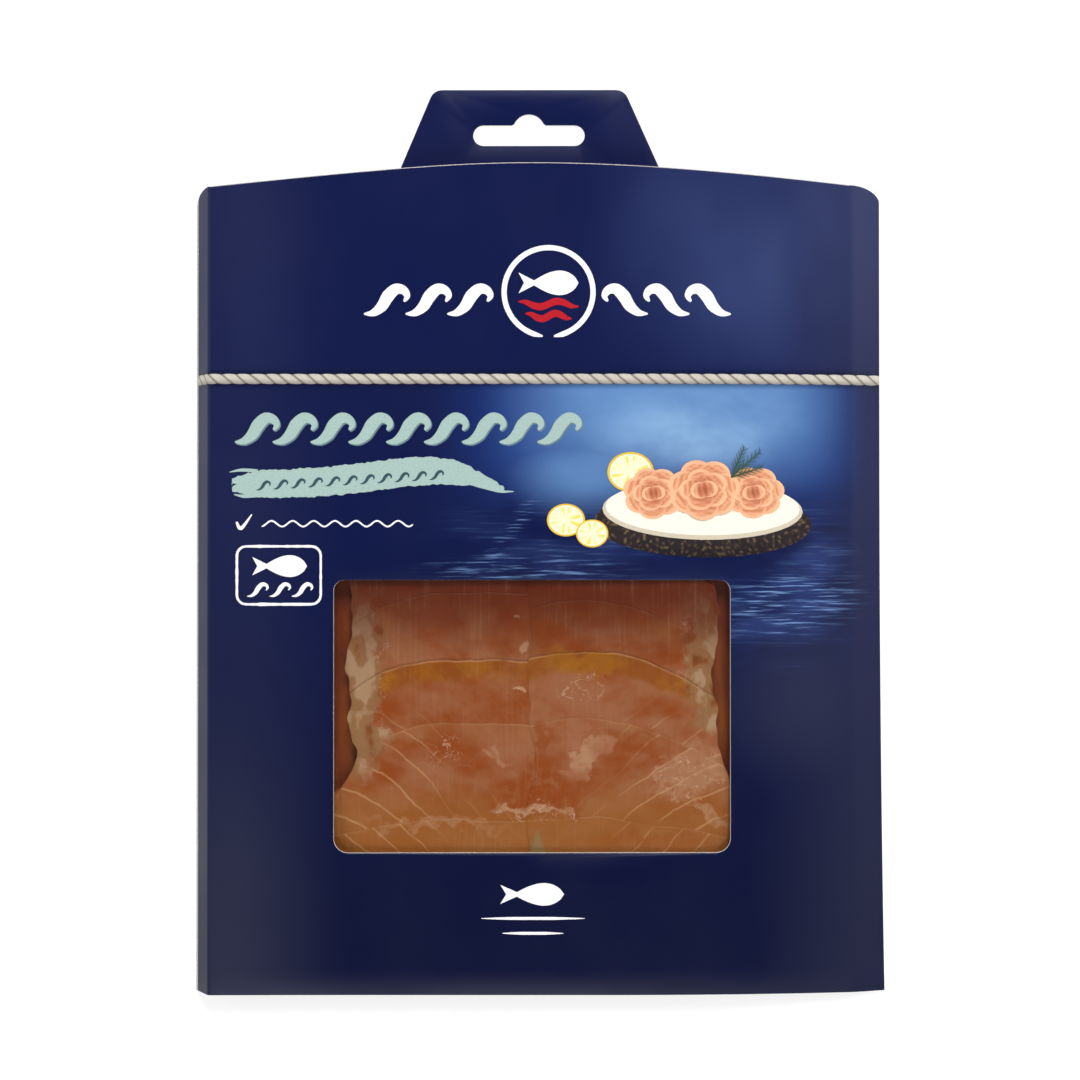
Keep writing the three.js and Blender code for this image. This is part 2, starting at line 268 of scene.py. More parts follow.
class Shader:
    """Builds the nodes of one material or world."""

    def __init__(self, tree: bpy.types.NodeTree) -> None:
        """Starts on an empty tree."""
        self.tree = tree
        tree.nodes.clear()

    def node(self, kind: str, inputs: dict | None = None, **settings: object) -> bpy.types.Node:
        """Adds a node.

        Args:
            kind: the node's type.
            inputs: a value or a socket for each input, by name or number.
            settings: the node's own settings.

        Returns:
            The new node.
        """
        made = self.tree.nodes.new(kind)
        for name, value in settings.items():
            setattr(made, name, value)
        for key, value in (inputs or {}).items():
            if isinstance(value, Socket):
                self.tree.links.new(value, made.inputs[key])
            else:
                made.inputs[key].default_value = value
        return made

    def math(self, operation: str, *values: object, limit: bool = False) -> Socket:
        """Result of a Math node on one, two or three values."""
        inputs = dict(enumerate(values))
        return self.node("ShaderNodeMath", inputs, operation=operation, use_clamp=limit).outputs[0]

    def chain(self, operation: str, *values: object) -> Socket:
        """Result of a Math operation carried on over two or more values."""
        result = values[0]
        for value in values[1:]:
            result = self.math(operation, result, value)
        return result

    def product(self, *values: object) -> Socket:
        """Product of two or more values."""
        return self.chain("MULTIPLY", *values)

    def total(self, *values: object) -> Socket:
        """Sum of two or more values."""
        return self.chain("ADD", *values)

    def highest(self, *values: object) -> Socket:
        """Highest of two or more values."""
        return self.chain("MAXIMUM", *values)

    def less(self, first: object, second: object) -> Socket:
        """The first value less the second."""
        return self.math("SUBTRACT", first, second)

    def mix(self, share: object, first: object, second: object) -> Socket:
        """Colour between two colours."""
        return self.node("ShaderNodeMix", {0: share, 6: first, 7: second}, data_type="RGBA").outputs[2]

    def rise(self, value: object, low: float, high: float, start: float = 0.0, end: float = 1.0) -> Socket:
        """Smooth change from start to end while a value goes from low to high."""
        limits = (high, low, end, start) if low > high else (low, high, start, end)
        inputs = {0: value} | dict(enumerate(limits, 1))
        return self.node("ShaderNodeMapRange", inputs, interpolation_type="SMOOTHSTEP").outputs[0]

    def rises(self, value: object, *changes: Sequence[float]) -> Socket:
        """Product of smooth changes over one value, such as a rise and a fall."""
        return self.product(*(self.rise(value, *change) for change in changes))

    def noise(self, vector: object, scale: float, detail: float = 2.0, rough: float = 0.5) -> Socket:
        """Noise of 0 to 1."""
        inputs = {"Vector": vector, "Scale": scale, "Detail": detail, "Roughness": rough}
        return self.node("ShaderNodeTexNoise", inputs).outputs[0]

    def stretch(self, vector: object, across: float, along: float, turn: float = 0.0) -> Socket:
        """The vector turned about Z by some degrees and scaled on two axes."""
        inputs = {"Vector": vector, "Rotation": (0.0, 0.0, math.radians(turn)), "Scale": (across, along, 1.0)}
        return self.node("ShaderNodeMapping", inputs).outputs[0]

    def spot(self, vector: object, spot: Spot) -> Socket:
        """1 in the middle of a spot and 0 outside, from a flat place in millimetres."""
        inputs = {
            "Vector": vector,
            "Location": (*spot.centre, 0.0),
            "Rotation": (0.0, 0.0, math.radians(spot.turn)),
            "Scale": (*spot.radii, 1.0),
        }
        place = self.node("ShaderNodeMapping", inputs, vector_type="TEXTURE").outputs[0]
        ball = self.node("ShaderNodeTexGradient", {"Vector": place}, gradient_type="SPHERICAL")
        return self.rise(ball.outputs["Fac"], 0.0, spot.core)

    def vector(self, *values: object) -> Socket:
        """Vector of up to three values."""
        return self.node("ShaderNodeCombineXYZ", dict(enumerate(values))).outputs[0]

    def vector_math(self, operation: str, first: object, second: object) -> Socket:
        """Result of a Vector Math node on two vectors."""
        return self.node("ShaderNodeVectorMath", {0: first, 1: second}, operation=operation).outputs[0]

    def flat_place(self, place: Socket) -> tuple[Socket, Socket, Socket]:
        """Millimetres from a vector in metres: the flat vector, its X and its Y."""
        inputs = {0: place, "Scale": 1 / MM}
        scaled = self.node("ShaderNodeVectorMath", inputs, operation="SCALE").outputs[0]
        parts = self.node("ShaderNodeSeparateXYZ", {0: scaled}).outputs
        return self.vector(parts[0], parts[1]), parts[0], parts[1]

    def uv_place(self, name: str) -> tuple[Socket, Socket, Socket]:
        """Flat place in millimetres from a UV map of the piece."""
        return self.flat_place(self.node("ShaderNodeUVMap", uv_map=name).outputs[0])

    def object_place(self) -> tuple[Socket, Socket, Socket]:
        """Flat place in millimetres from object coordinates."""
        return self.flat_place(self.node("ShaderNodeTexCoord").outputs["Object"])

    def attribute(self, name: str, output: str = "Fac") -> Socket:
        """An attribute of the piece's mesh."""
        return self.node("ShaderNodeAttribute", attribute_name=name).outputs[output]

    def bump(self, height: object, strength: float, distance: float) -> Socket:
        """Normal of a surface with small relief."""
        inputs = {"Height": height, "Strength": strength, "Distance": distance}
        return self.node("ShaderNodeBump", inputs).outputs[0]

    def surface(self, **inputs: object) -> None:
        """Ends the tree in a Principled shader; underscores in names stand for spaces."""
        named = {key.replace("_", " "): value for key, value in inputs.items()}
        shader = self.node("ShaderNodeBsdfPrincipled", named)
        self.node("ShaderNodeOutputMaterial", {"Surface": shader.outputs[0]})


def new_shader(name: str) -> tuple[Material, Shader]:
    """A new material and the builder of its nodes."""
    material = bpy.data.materials.new(name)
    material.use_nodes = True
    return material, Shader(material.node_tree)


# The sleeve's form


@dataclass(frozen=True)
class BoardForm:
    """Sizes of the folded board, and where each point of the flat blank comes to lie.

    A place on the blank is (u, y). On the front panel u is the distance to the right
    of the middle, and it runs on round the flanks to the back panel and the glue lap.
    """

    board: float = 0.5
    back_left: float = -98.5
    back_right: float = 97.3
    bottom: float = -128.85
    crown: float = 106.85
    flare_width: float = 1.2
    flare_length: float = 140.0
    flare_from: float = 58.0
    left_fold: float = -94.0
    right_fold: float = 88.5
    left_fold_z: float = 8.2
    right_fold_z: float = 3.0
    fold_reaches: tuple[float, ...] = (0.9, 0.9, 1.3, 0.5)
    plateau_z: float = 7.7
    plateau_from: float = -40.0
    plateau_to: float = 15.0
    bend_power: float = 2.4
    end_drop: float = 0.35
    arch_centre: float = -2.8
    arch_round: float = 5.14
    arch_left_slope: float = 0.119
    arch_right_slope: float = 0.106
    flank_top: float = 95.6
    lap_width: float = 9.5
    lap_inset: float = 0.25
    lap_gap: float = 0.04
    edge_taper: float = 0.3
    inside_low: float = 0.03
    wave: float = 0.05
    wave_size: float = 46.0
    wave_margin: float = 14.0
    panel_steps: tuple[int, int, int] = (4, 52, 44)
    flank_steps: int = 10
    fold_clearance: float = 0.12
    column_gap: float = 0.2

    @property
    def left_flank_width(self) -> float:
        """Width of the left flank."""
        return math.hypot(self.left_fold - self.back_left, self.left_fold_z)

    @property
    def right_flank_width(self) -> float:
        """Width of the right flank."""
        return math.hypot(self.back_right - self.right_fold, self.right_fold_z)

    @property
    def folds(self) -> tuple[Point, ...]:
        """The four folds on the blank, each with half the length that its rounding takes."""
        lap = self.left_fold - self.left_flank_width
        back = self.right_fold + self.right_flank_width
        return tuple(zip((lap, self.left_fold, self.right_fold, back), self.fold_reaches))

    @property
    def back_end(self) -> float:
        """Place on the blank where the back panel ends."""
        return self.folds[3][0] + self.back_right - self.back_left

    def flare(self, y: float) -> float:
        """How far the right side stands out."""
        share = clamp((y - self.bottom) / self.flare_length)
        return self.flare_width * (1 - share) ** 2

    def front_z(self, x: float, y: float) -> float:
        """Height of the front face."""
        z = self.plateau_z
        if x < self.plateau_from:
            share = (self.plateau_from - x) / (self.plateau_from - self.left_fold)
            z += (self.left_fold_z - self.plateau_z) * share * share
        if x > self.plateau_to:
            share = (x - self.plateau_to) / (self.right_fold - self.plateau_to)
            z -= (self.plateau_z - self.right_fold_z) * share**self.bend_power
        middle = (self.bottom + self.crown) / 2
        away = (y - middle) / (self.crown - middle)
        z -= self.end_drop * away * away * z / self.plateau_z
        inner = smooth(self.left_fold, self.left_fold + self.wave_margin, x)
        inner *= smooth(self.right_fold, self.right_fold - self.wave_margin, x)
        return z + self.wave * inner * ripple(x, y, self.wave_size)

    def arch_y(self, x: float) -> float:
        """Top edge of the front panel."""
        slope = self.arch_left_slope if x < self.arch_centre else self.arch_right_slope
        return self.crown + self.arch_round - math.hypot(self.arch_round, slope * (x - self.arch_centre))

    def top_y(self, x: float) -> float:
        """Top edge of the whole outline, with its rounded shoulders over the flanks."""
        for fold, back in ((self.left_fold, self.back_left), (self.right_fold, self.back_right)):
            share = (x - fold) / (back - fold)
            if share > 0:
                rise = math.sqrt(max(0.0, 1 - min(share, 1.0) ** 2))
                return self.flank_top + (self.arch_y(fold) - self.flank_top) * rise
        return self.arch_y(x)

    def sharp_place(self, u: float, y: float) -> Vector:
        """Where a point of the blank lies, with sharp folds."""
        lap, left, right, back = (place for place, _ in self.folds)
        flare = self.flare(y)
        lap_z = self.board + self.lap_gap
        lap_x = self.back_left + self.lap_inset
        if u < lap:
            return Vector((lap_x + lap - u, y, lap_z))
        if u < left:
            share = (u - lap) / (left - lap)
            front = self.front_z(left, y)
            return Vector((lerp(lap_x, self.left_fold, share), y, lerp(lap_z, front, share)))
        if u <= right:
            return Vector((u + flare * smooth(self.flare_from, right, u), y, self.front_z(u, y)))
        if u < back:
            share = (u - right) / (back - right)
            x = lerp(self.right_fold, self.back_right, share) + flare
            return Vector((x, y, lerp(self.front_z(right, y), 0.0, share)))
        share = (u - back) / (self.back_end - back)
        return Vector((lerp(self.back_right + flare, self.back_left, share), y, 0.0))

    def outer_place(self, u: float, y: float) -> Vector:
        """Where a point of the blank's printed side lies, with rounded folds."""
        for fold, reach in self.folds:
            if abs(u - fold) < reach:
                share = (u - fold + reach) / (2 * reach)
                before, at_fold, after = (self.sharp_place(fold + k * reach, y) for k in (-1, 0, 1))
                rounded = before * (1 - share) ** 2 + at_fold * 2 * share * (1 - share)
                return rounded + after * share * share
        return self.sharp_place(u, y)

    def place(self, u: float, y: float, depth: float) -> Vector:
        """Where a point inside the board lies.

        Args:
            u: place across the blank.
            y: place along it.
            depth: distance below the printed side.

        Returns:
            The place. At the sharp right edge the two walls meet halfway between them.
        """
        nudge = 0.02
        outer = self.outer_place(u, y)
        along = self.outer_place(u + nudge, y) - self.outer_place(u - nudge, y)
        inward = Vector((along.z, 0.0, -along.x)).normalized()
        inner = outer + inward * depth
        edge_x = self.back_right + self.flare(y)
        slope = self.right_fold_z / (self.back_right - self.right_fold)
        halfway = 0.5 * slope * (edge_x - outer.x)
        if u > self.folds[2][0] and halfway < self.board and depth > 0:
            above = u < self.folds[3][0]
            inner.x = outer.x - self.edge_taper * depth
            level = halfway + (self.lap_gap if above else -self.lap_gap) / 2
            inner.z = max(level, inner.z) if above else min(level, outer.z + depth)
            inner.z = max(inner.z, self.inside_low)
        return inner

    def columns(self, extra: Sequence[float]) -> list[float]:
        """Places across the blank at which its grid has points.

        Args:
            extra: places that have to be among them.

        Returns:
            The places in rising order, the extra ones kept exactly.
        """
        lap, left, right, back = (place for place, _ in self.folds)
        start, end = lap - self.lap_width, self.back_end
        found = []
        for panel, steps in zip(((start, lap), (left, right), (back, end)), self.panel_steps):
            found += spaced(*panel, steps)
        for step in range(1, self.flank_steps):
            share = math.cos(math.radians(90 - 90 / self.flank_steps * step))
            found.append(left - self.left_flank_width * share)
            found.append(right + self.right_flank_width * share)
            found.append(back + (self.back_right - self.right_fold) * (1 - share))
            found.append(end - (self.left_fold - self.back_left) * (1 - share))
        kept = list(extra)
        for fold, reach in self.folds:
            kept += [fold + reach * part for part in (-1.0, -0.6, -0.2, 0.2, 0.6, 1.0)]
        kept += [start, end]
        for u in found:
            near_fold = any(abs(u - fold) < reach + self.fold_clearance for fold, reach in self.folds)
            if not near_fold and all(abs(u - other) > self.column_gap for other in kept):
                kept.append(u)
        return sorted(kept)

    def back_u(self, x: float) -> float:
        """Place on the blank of a point of the back panel above the flare."""
        return self.folds[3][0] + self.back_right - x


@dataclass(frozen=True)
class Opening:
    """A rounded rectangle, such as a hole."""

    left: float
    right: float
    bottom: float
    top: float
    bottom_radius: float
    top_radius: float

    def outline(self, side_grow: float = 0.0, top_grow: float = 0.0, steps: int = 7) -> list[Point]:
        """Points round it, grown by a distance at the sides and by another at the top."""
        low, high = self.bottom_radius, self.top_radius
        corners = (
            (self.right - low, self.bottom + low, low, 270),
            (self.right - high, self.top - high, high, 0),
            (self.left + high, self.top - high, high, 90),
            (self.left + low, self.bottom + low, low, 180),
        )
        points = []
        for x, y, radius, start in corners:
            for angle in map(math.radians, spaced(start, start + 90, steps)):
                grow = top_grow if math.sin(angle) > 0.3 else side_grow
                points.append(around((x, y), (radius + side_grow, radius + grow), angle))
        return points


@dataclass(frozen=True)
class HangTab:
    """The hang tab on the back panel, and its slot."""

    top: float = 128.85
    root: float = 104.3
    top_left: float = -30.6
    top_right: float = 24.0
    root_left: float = -41.0
    root_right: float = 35.0
    corner: float = 2.6
    slot_x: float = -3.3
    slot_bottom: float = 112.8
    slot_length: float = 32.0
    slot_height: float = 5.9
    hump_radius: float = 4.6
    hump_top: float = 121.85
    fillet: float = 1.2

    def side_x(self, y: float, side: Side) -> float:
        """X of a slanting side at a height."""
        share = (y - self.root) / (self.top - self.root)
        if side is Side.LEFT:
            return lerp(self.root_left, self.top_left, share)
        return lerp(self.root_right, self.top_right, share)

    def foot_x(self, form: BoardForm, side: Side) -> float:
        """X at which a slanting side meets the back panel's top edge, by coming closer in rounds."""
        x = self.root_left if side is Side.LEFT else self.root_right
        for _ in range(6):
            x = self.side_x(form.top_y(x), side)
        return x

    def outline(self) -> list[Point]:
        """Points from the right side over the top to the left side, without the feet."""
        points = []
        for corner_x, side in ((self.top_right, Side.RIGHT), (self.top_left, Side.LEFT)):
            low_y = self.top - self.corner * 0.92
            start = Vector((self.side_x(low_y, side), low_y))
            tip = Vector((corner_x, self.top))
            end = Vector((corner_x - side.value * self.corner, self.top))
            arc = []
            for share in spaced(0.0, 1.0, 6):
                at = start * (1 - share) ** 2 + tip * 2 * share * (1 - share) + end * share**2
                arc.append((at.x, at.y))
            points += arc if side is Side.RIGHT else arc[::-1]
        return points

    def slot(self) -> list[Point]:
        """Points round the hang slot, counter-clockwise."""
        end = self.slot_height / 2
        middle_y = self.slot_bottom + end
        reach = self.slot_length / 2 - end
        hump_y = self.hump_top - self.hump_radius
        fillet_y = self.slot_bottom + self.slot_height + self.fillet
        fillet_x = math.sqrt((self.hump_radius + self.fillet) ** 2 - (fillet_y - hump_y) ** 2)
        touch = math.degrees(math.atan2(fillet_y - hump_y, fillet_x))
        arcs = (
            (reach, middle_y, end, -90.0, 90.0),
            (fillet_x, fillet_y, self.fillet, -90.0, touch - 180.0),
            (0.0, hump_y, self.hump_radius, touch, 180.0 - touch),
            (-fillet_x, fillet_y, self.fillet, -touch, -90.0),
            (-reach, middle_y, end, 90.0, 270.0),
        )
        points = []
        for x, y, radius, start, stop in arcs:
            for angle in map(math.radians, spaced(start, stop, 10)):
                points.append(around((self.slot_x + x, y), (radius, radius), angle))
        return points


# Finishes of the board

VARNISH_SPECULAR = 0.11
VARNISH_RELIEF = 0.00004


@dataclass(frozen=True)
class PrintFinish:
    """Navy print with a blue glow over water, a rope band, and a satin varnish."""

    upper: Colour = linear(12, 21, 64)
    lower: Colour = linear(9, 15, 47)
    # Painted reflection: a lighter blue sheen, part print and part reflection of the lights.
    painted_sheen: Colour = linear(52, 64, 110)
    # Painted reflection: a pale grey veil laid over the navy.
    reflection_veil: Colour = linear(84, 86, 100)
    deep: Colour = linear(30, 56, 124)
    glow: Colour = linear(98, 138, 186)
    haze: Colour = linear(134, 168, 202)
    water: Colour = linear(44, 60, 112)
    streak: Colour = linear(120, 155, 205)
    rope_light: Colour = linear(198, 193, 182)
    rope_dark: Colour = linear(88, 80, 70)
    rope_shadow: Colour = linear(8, 11, 30)
    rope_y: float = 45.4
    rope_half: float = 1.45
    strand: float = 4.0
    roughness: float = 0.34
    # Where the painted sheen lies: a patch at the upper right and a faint streak at the upper left.
    sheen_corner: Spot = Spot((62.0, 88.0), (56.0, 64.0), -18.0)
    sheen_side: Spot = Spot((-80.0, 66.0), (15.0, 74.0), 4.0)
    # Where a spot of the painted grey reflection lies, low on the right.
    right_reflection_spot: Spot = Spot((68.0, -44.0), (27.0, 32.0))
    low_glow: Spot = Spot((13.0, 18.5), (27.0, 15.0))
    haze_spot: Spot = Spot((44.0, 31.0), (36.0, 16.0), 6.0)
    dish_shadow: Spot = Spot((44.0, -7.5), (38.0, 7.5), core=0.7)
    sea_streaks: tuple[Spot, ...] = (
        Spot((-9.0, 1.5), (20.0, 3.6), 53.0),
        Spot((69.0, -18.0), (30.0, 11.0), 6.0, 0.8),
        Spot((-2.0, -8.5), (38.0, 5.0), core=0.8),
    )

    def body(self, s: Shader, place: Sequence[Socket]) -> Socket:
        """The navy ground, with a painted sheen towards the top, part lighter print and part painted
        reflection, and a pale painted reflection at the sides.
        """
        flat, x, y = place
        colour = s.mix(s.rise(y, -120.0, 40.0), self.lower, self.upper)
        cloud = s.noise(s.stretch(flat, 0.018, 0.012), 1.0, 3.0, 0.55)
        # Painted reflection: the lighter blue sheen, mottled, and only above the rope.
        bright = s.highest(s.spot(flat, self.sheen_corner), s.product(s.spot(flat, self.sheen_side), 0.10))
        painted_sheen = s.product(bright, s.rise(cloud, 0.25, 0.72, 0.25, 0.9), s.rise(y, 40.0, 52.0))
        colour = s.mix(painted_sheen, colour, self.painted_sheen)
        # Painted reflection: the pale grey veil at both sides and in a spot low on the right.
        left = s.product(s.rises(x, (-52.0, -88.0), (-95.0, -93.5)), s.rise(y, -20.0, -110.0, 0.06, 0.17))
        right = s.product(s.rises(x, (56.0, 92.0), (110.0, 98.0)), 0.12)
        right_reflection = s.product(s.spot(flat, self.right_reflection_spot), 0.12)
        return s.mix(s.total(left, right, right_reflection), colour, self.reflection_veil)

    def sky(self, s: Shader, place: Sequence[Socket], base: object) -> Socket:
        """The glow below the rope.

        Args:
            s: the shader being built.
            place: flat place in millimetres, its X and its Y.
            base: colour under it.

        Returns:
            The colour with the glow and the haze in it.
        """
        flat, x, y = place
        cloud = s.noise(s.stretch(flat, 0.020, 0.034), 1.0, 4.0, 0.6)
        below = s.rise(y, self.rope_y - 1.2, self.rope_y - 1.6)
        wide = s.product(s.rises(x, (-36.0, 4.0), (97.0, 74.0)), s.rise(y, 2.0, 26.0), below, 0.85)
        colour = s.mix(wide, base, self.deep)
        high = s.product(s.rises(x, (-20.0, 27.0), (93.0, 61.0)), s.rise(y, 8.0, 36.0))
        low = s.product(s.spot(flat, self.low_glow), 0.75)
        either = s.math("MAXIMUM", high, low, limit=True)
        colour = s.mix(s.product(either, s.rise(cloud, 0.2, 0.7, 0.7, 1.0), below), colour, self.glow)
        haze = s.product(s.spot(flat, self.haze_spot), s.rise(cloud, 0.3, 0.7), below)
        return s.mix(haze, colour, self.haze)

    def sea(self, s: Shader, place: Sequence[Socket], base: object) -> Socket:
        """The water with its light streaks.

        Args:
            s: the shader being built.
            place: flat place in millimetres, its X and its Y.
            base: colour under it.

        Returns:
            The colour with the water, which is calm and dark under the dish.
        """
        flat, x, y = place
        patches = s.noise(s.stretch(flat, 0.035, 0.10), 1.0, 2.0)
        calm = s.less(1.0, s.product(s.spot(flat, self.dish_shadow), 0.92))
        across = s.rises(x, (-38.0, 0.0), (93.0, 74.0))
        reach = s.product(across, s.rise(y, 16.0, 4.0), s.rise(y, -40.0, -18.0))
        water = s.product(reach, s.rise(patches, 0.38, 0.68), s.rise(x, 4.0, 34.0, 0.45, 1.0), calm)
        colour = s.mix(s.product(water, 0.75), base, self.water)
        fine = s.noise(s.stretch(flat, 0.06, 1.25, 4.0), 1.0, 3.0, 0.65)
        strong = s.product(s.highest(*(s.spot(flat, spot) for spot in self.sea_streaks)), 0.8)
        amount = s.math("ADD", s.product(water, 0.4), strong, limit=True)
        streaks = s.product(s.rise(fine, 0.50, 0.72), amount, s.rise(y, 14.0, 8.0), calm)
        return s.mix(streaks, colour, self.streak)

    def rope(self, s: Shader, place: Sequence[Socket], base: object) -> Socket:
        """The twisted rope band round the sleeve.

        Args:
            s: the shader being built.
            place: flat place in millimetres, its X and its Y.
            base: colour under it.

        Returns:
            The colour with the band and its soft shadow.
        """
        _, x, y = place
        across = s.math("DIVIDE", s.less(y, self.rope_y), self.rope_half)
        wobble = s.noise(s.vector(x), 0.16, 1.0)
        turn = s.total(s.math("DIVIDE", x, self.strand), s.product(across, 0.42), s.product(wobble, 0.35))
        wave = s.math("FRACT", turn)
        bulge = s.math("SINE", s.product(wave, math.pi))
        away = s.math("ABSOLUTE", across)
        inside = s.rise(s.less(s.total(0.86, s.product(bulge, 0.14)), away), -0.03, 0.05)
        along_fibre = s.vector(s.product(wave, 5.0), s.product(across, 0.7), s.product(x, 0.3))
        light = s.product(
            s.rise(bulge, 0.0, 0.62, 0.18, 1.0),
            s.rise(across, -1.05, 0.35, 0.42, 1.0),
            s.rise(s.noise(along_fibre, 1.6, 3.0, 0.7), 0.2, 0.8, 0.72, 1.08),
        )
        strands = s.mix(light, self.rope_dark, self.rope_light)
        under = s.mix(s.product(s.rise(away, 2.3, 0.9), 0.55), base, self.rope_shadow)
        return s.mix(inside, under, strands)

    def material(self) -> Material:
        """Builds the printed side of the board."""
        made, s = new_shader("printed_board")
        place = s.uv_place(PrintedSleeve.uv_name)
        colour = self.body(s, place)
        for layer in (self.sky, self.sea, self.rope):
            colour = layer(s, place, colour)
        sweep = s.noise(s.stretch(place[0], 0.03, 0.02), 1.0, 3.0, 0.6)
        s.surface(
            Base_Color=colour,
            Roughness=s.rise(sweep, 0.25, 0.75, self.roughness - 0.05, self.roughness + 0.07),
            Specular_IOR_Level=VARNISH_SPECULAR,
            Normal=s.bump(s.noise(place[0], 2.6, 2.0, 0.6), 0.12, VARNISH_RELIEF),
        )
        return made


@dataclass(frozen=True)
class PaperFinish:
    """Bare board: the grey-white inside, or the white core at a cut edge."""

    name: str
    light: Colour
    dark: Colour
    fibre_scale: float

    def material(self) -> Material:
        """Builds the bare board."""
        made, s = new_shader(self.name)
        fibre = s.noise(s.stretch(s.object_place()[0], 0.4, 1.0), self.fibre_scale, 4.0, 0.65)
        s.surface(
            Base_Color=s.mix(s.rise(fibre, 0.3, 0.7), self.dark, self.light),
            Roughness=0.82,
            Normal=s.bump(fibre, 0.35, 0.00006),
        )
        return made


class SleeveFace(Enum):
    """Material slots of the sleeve. Each is followed by that of its inner side and its rim."""

    PRINT = 0
    TAB = 3
    LINE = 6

    @staticmethod
    def materials() -> list[Material]:
        """The sleeve's materials in slot order."""
        ink = PrintFinish().material()
        inside = PaperFinish("board_inside", linear(196, 192, 184), linear(172, 168, 160), 1.4).material()
        core = PaperFinish("board_core", linear(196, 192, 184), linear(160, 156, 150), 4.0).material()
        return [ink, inside, core, ink, ink, core, core, inside, core]


@dataclass
class PrintedSleeve:
    """The folded board sleeve with its window, arched top, hang tab and slot."""

    uv_name = "blank"

    form: BoardForm = field(default_factory=BoardForm)
    tab: HangTab = field(default_factory=HangTab)
    window: Opening = Opening(-58.5, 53.7, -88.65, -11.55, 4.0, 3.0)
    window_margin: float = 4.0
    rim_width: float = 0.12
    rim_drop: float = 0.16
    edge_line: float = 0.2
    rows: int = 28
    rows_to: float = 90.0
    cut_bevel: float = 0.06

    def row_places(self, u: float) -> list[float]:
        """Y of each row of the blank's grid in one column."""
        top = self.form.top_y(self.form.sharp_place(u, self.rows_to).x)
        if u < self.form.folds[0][0]:
            top = self.form.flank_top - 2.0 - 0.5 * (self.form.folds[0][0] - u)
        line = (top - self.edge_line - self.rows_to) / (top - self.rows_to)
        places = spaced(self.form.bottom, self.rows_to, self.rows)
        return places + [lerp(self.rows_to, top, share) for share in (0.35, 0.7, line, 1.0)]

    def blank(self, bm: BMesh) -> None:
        """Makes the flat blank as a grid with its window, tab and slot."""
        feet = {side: self.form.back_u(self.tab.foot_x(self.form, side)) for side in Side}
        columns = self.form.columns(list(feet.values()))
        rows = [self.row_places(u) for u in columns]
        make_grid(bm, len(columns), len(rows[0]), lambda i, j: Vector((columns[i], rows[i][j], 0.0)))
        self.cut_window(bm)
        self.add_tab(bm, feet)

    def cut_window(self, bm: BMesh) -> None:
        """Opens the window and lays the pale cut edge round it."""
        hole = self.window

        def within(point: Vector, extra: float) -> bool:
            """Whether a point lies in the hole grown by the margin and more."""
            reach = self.window_margin + extra
            across = hole.left - reach < point.x < hole.right + reach
            return across and hole.bottom - reach < point.y < hole.top + reach

        doomed = [face for face in bm.faces if within(face.calc_center_median(), 0.0)]
        bmesh.ops.delete(bm, geom=doomed, context="FACES")
        edge = [e for e in bm.edges if e.is_boundary and all(within(v.co, 5.0) for v in e.verts)]
        outer = make_loop(bm, hole.outline(self.rim_width, 0.02))
        fill(bm, edge + outer)
        inner = make_loop(bm, hole.outline())
        for vert in {v for e in inner for v in e.verts}:
            vert.co.z = -self.rim_drop
        for face in bmesh.ops.bridge_loops(bm, edges=outer + inner)["faces"]:
            face.material_index = SleeveFace.LINE.value

    def add_tab(self, bm: BMesh, feet: dict[Side, float]) -> None:
        """Adds the hang tab to the back panel's top edge, with its slot."""
        low, high = feet[Side.RIGHT] - 0.01, feet[Side.LEFT] + 0.01
        flat_top = self.form.flank_top

        def on_edge(vert: Vert) -> bool:
            """Whether a point lies at the top of the back panel, between the tab's feet."""
            return low < vert.co.x < high and vert.co.y > flat_top

        edge = [e for e in bm.edges if e.is_boundary and all(on_edge(v) for v in e.verts)]
        ends = {v for e in edge for v in e.verts}
        start = min(ends, key=lambda v: v.co.x)
        stop = max(ends, key=lambda v: v.co.x)
        outline, slot = (
            [(self.form.back_u(x), y) for x, y in points] for points in (self.tab.outline(), self.tab.slot())
        )
        path = make_loop(bm, outline, closed=False)
        path.append(bm.edges.new((start, path[0].verts[0])))
        path.append(bm.edges.new((path[-2].verts[1], stop)))
        for item in fill(bm, edge + path + make_loop(bm, slot)):
            if isinstance(item, bmesh.types.BMFace):
                item.material_index = SleeveFace.TAB.value

    def mark_edge_line(self, bm: BMesh) -> None:
        """Gives the strip along the front's top edge the colour of the board's core."""
        left, right = self.form.left_fold, self.form.right_fold
        for face in bm.faces:
            middle = face.calc_center_median()
            if left < middle.x < right and middle.y > self.form.top_y(middle.x) - self.edge_line:
                face.material_index = SleeveFace.LINE.value

    def thicken(self, bm: BMesh) -> None:
        """Gives the flat blank the board's thickness, with its own inner side and cut edges."""
        for item in bmesh.ops.extrude_face_region(bm, geom=bm.faces[:])["geom"]:
            if isinstance(item, Vert):
                item.co.z = -self.form.board
        bmesh.ops.recalc_face_normals(bm, faces=bm.faces)
        for face in bm.faces:
            depths = [-vert.co.z for vert in face.verts]
            if min(depths) == self.form.board:
                face.material_index += 1
            elif max(depths) == self.form.board:
                face.material_index = SleeveFace.PRINT.value + 2

    def fold(self, bm: BMesh) -> None:
        """Writes the blank's own places as UVs and folds it into the sleeve."""
        layer = bm.loops.layers.uv.new(self.uv_name)
        for face in bm.faces:
            for loop in face.loops:
                loop[layer].uv = (loop.vert.co.x * MM, loop.vert.co.y * MM)
        for vert in bm.verts:
            vert.co = self.form.place(vert.co.x, vert.co.y, -vert.co.z)

    def build(self) -> None:
        """Builds and dresses the sleeve."""
        bm = bmesh.new()
        self.blank(bm)
        self.mark_edge_line(bm)
        self.thicken(bm)
        self.fold(bm)
        piece = make_object(bm, "printed_sleeve", SleeveFace.materials())
        add_bevel(piece, self.cut_bevel, 55)
        apply_modifiers(piece)
        finish_piece(piece, Slot.BOARD, "carton_sleeve", sharp_degrees=40)


# Artwork printed on the front


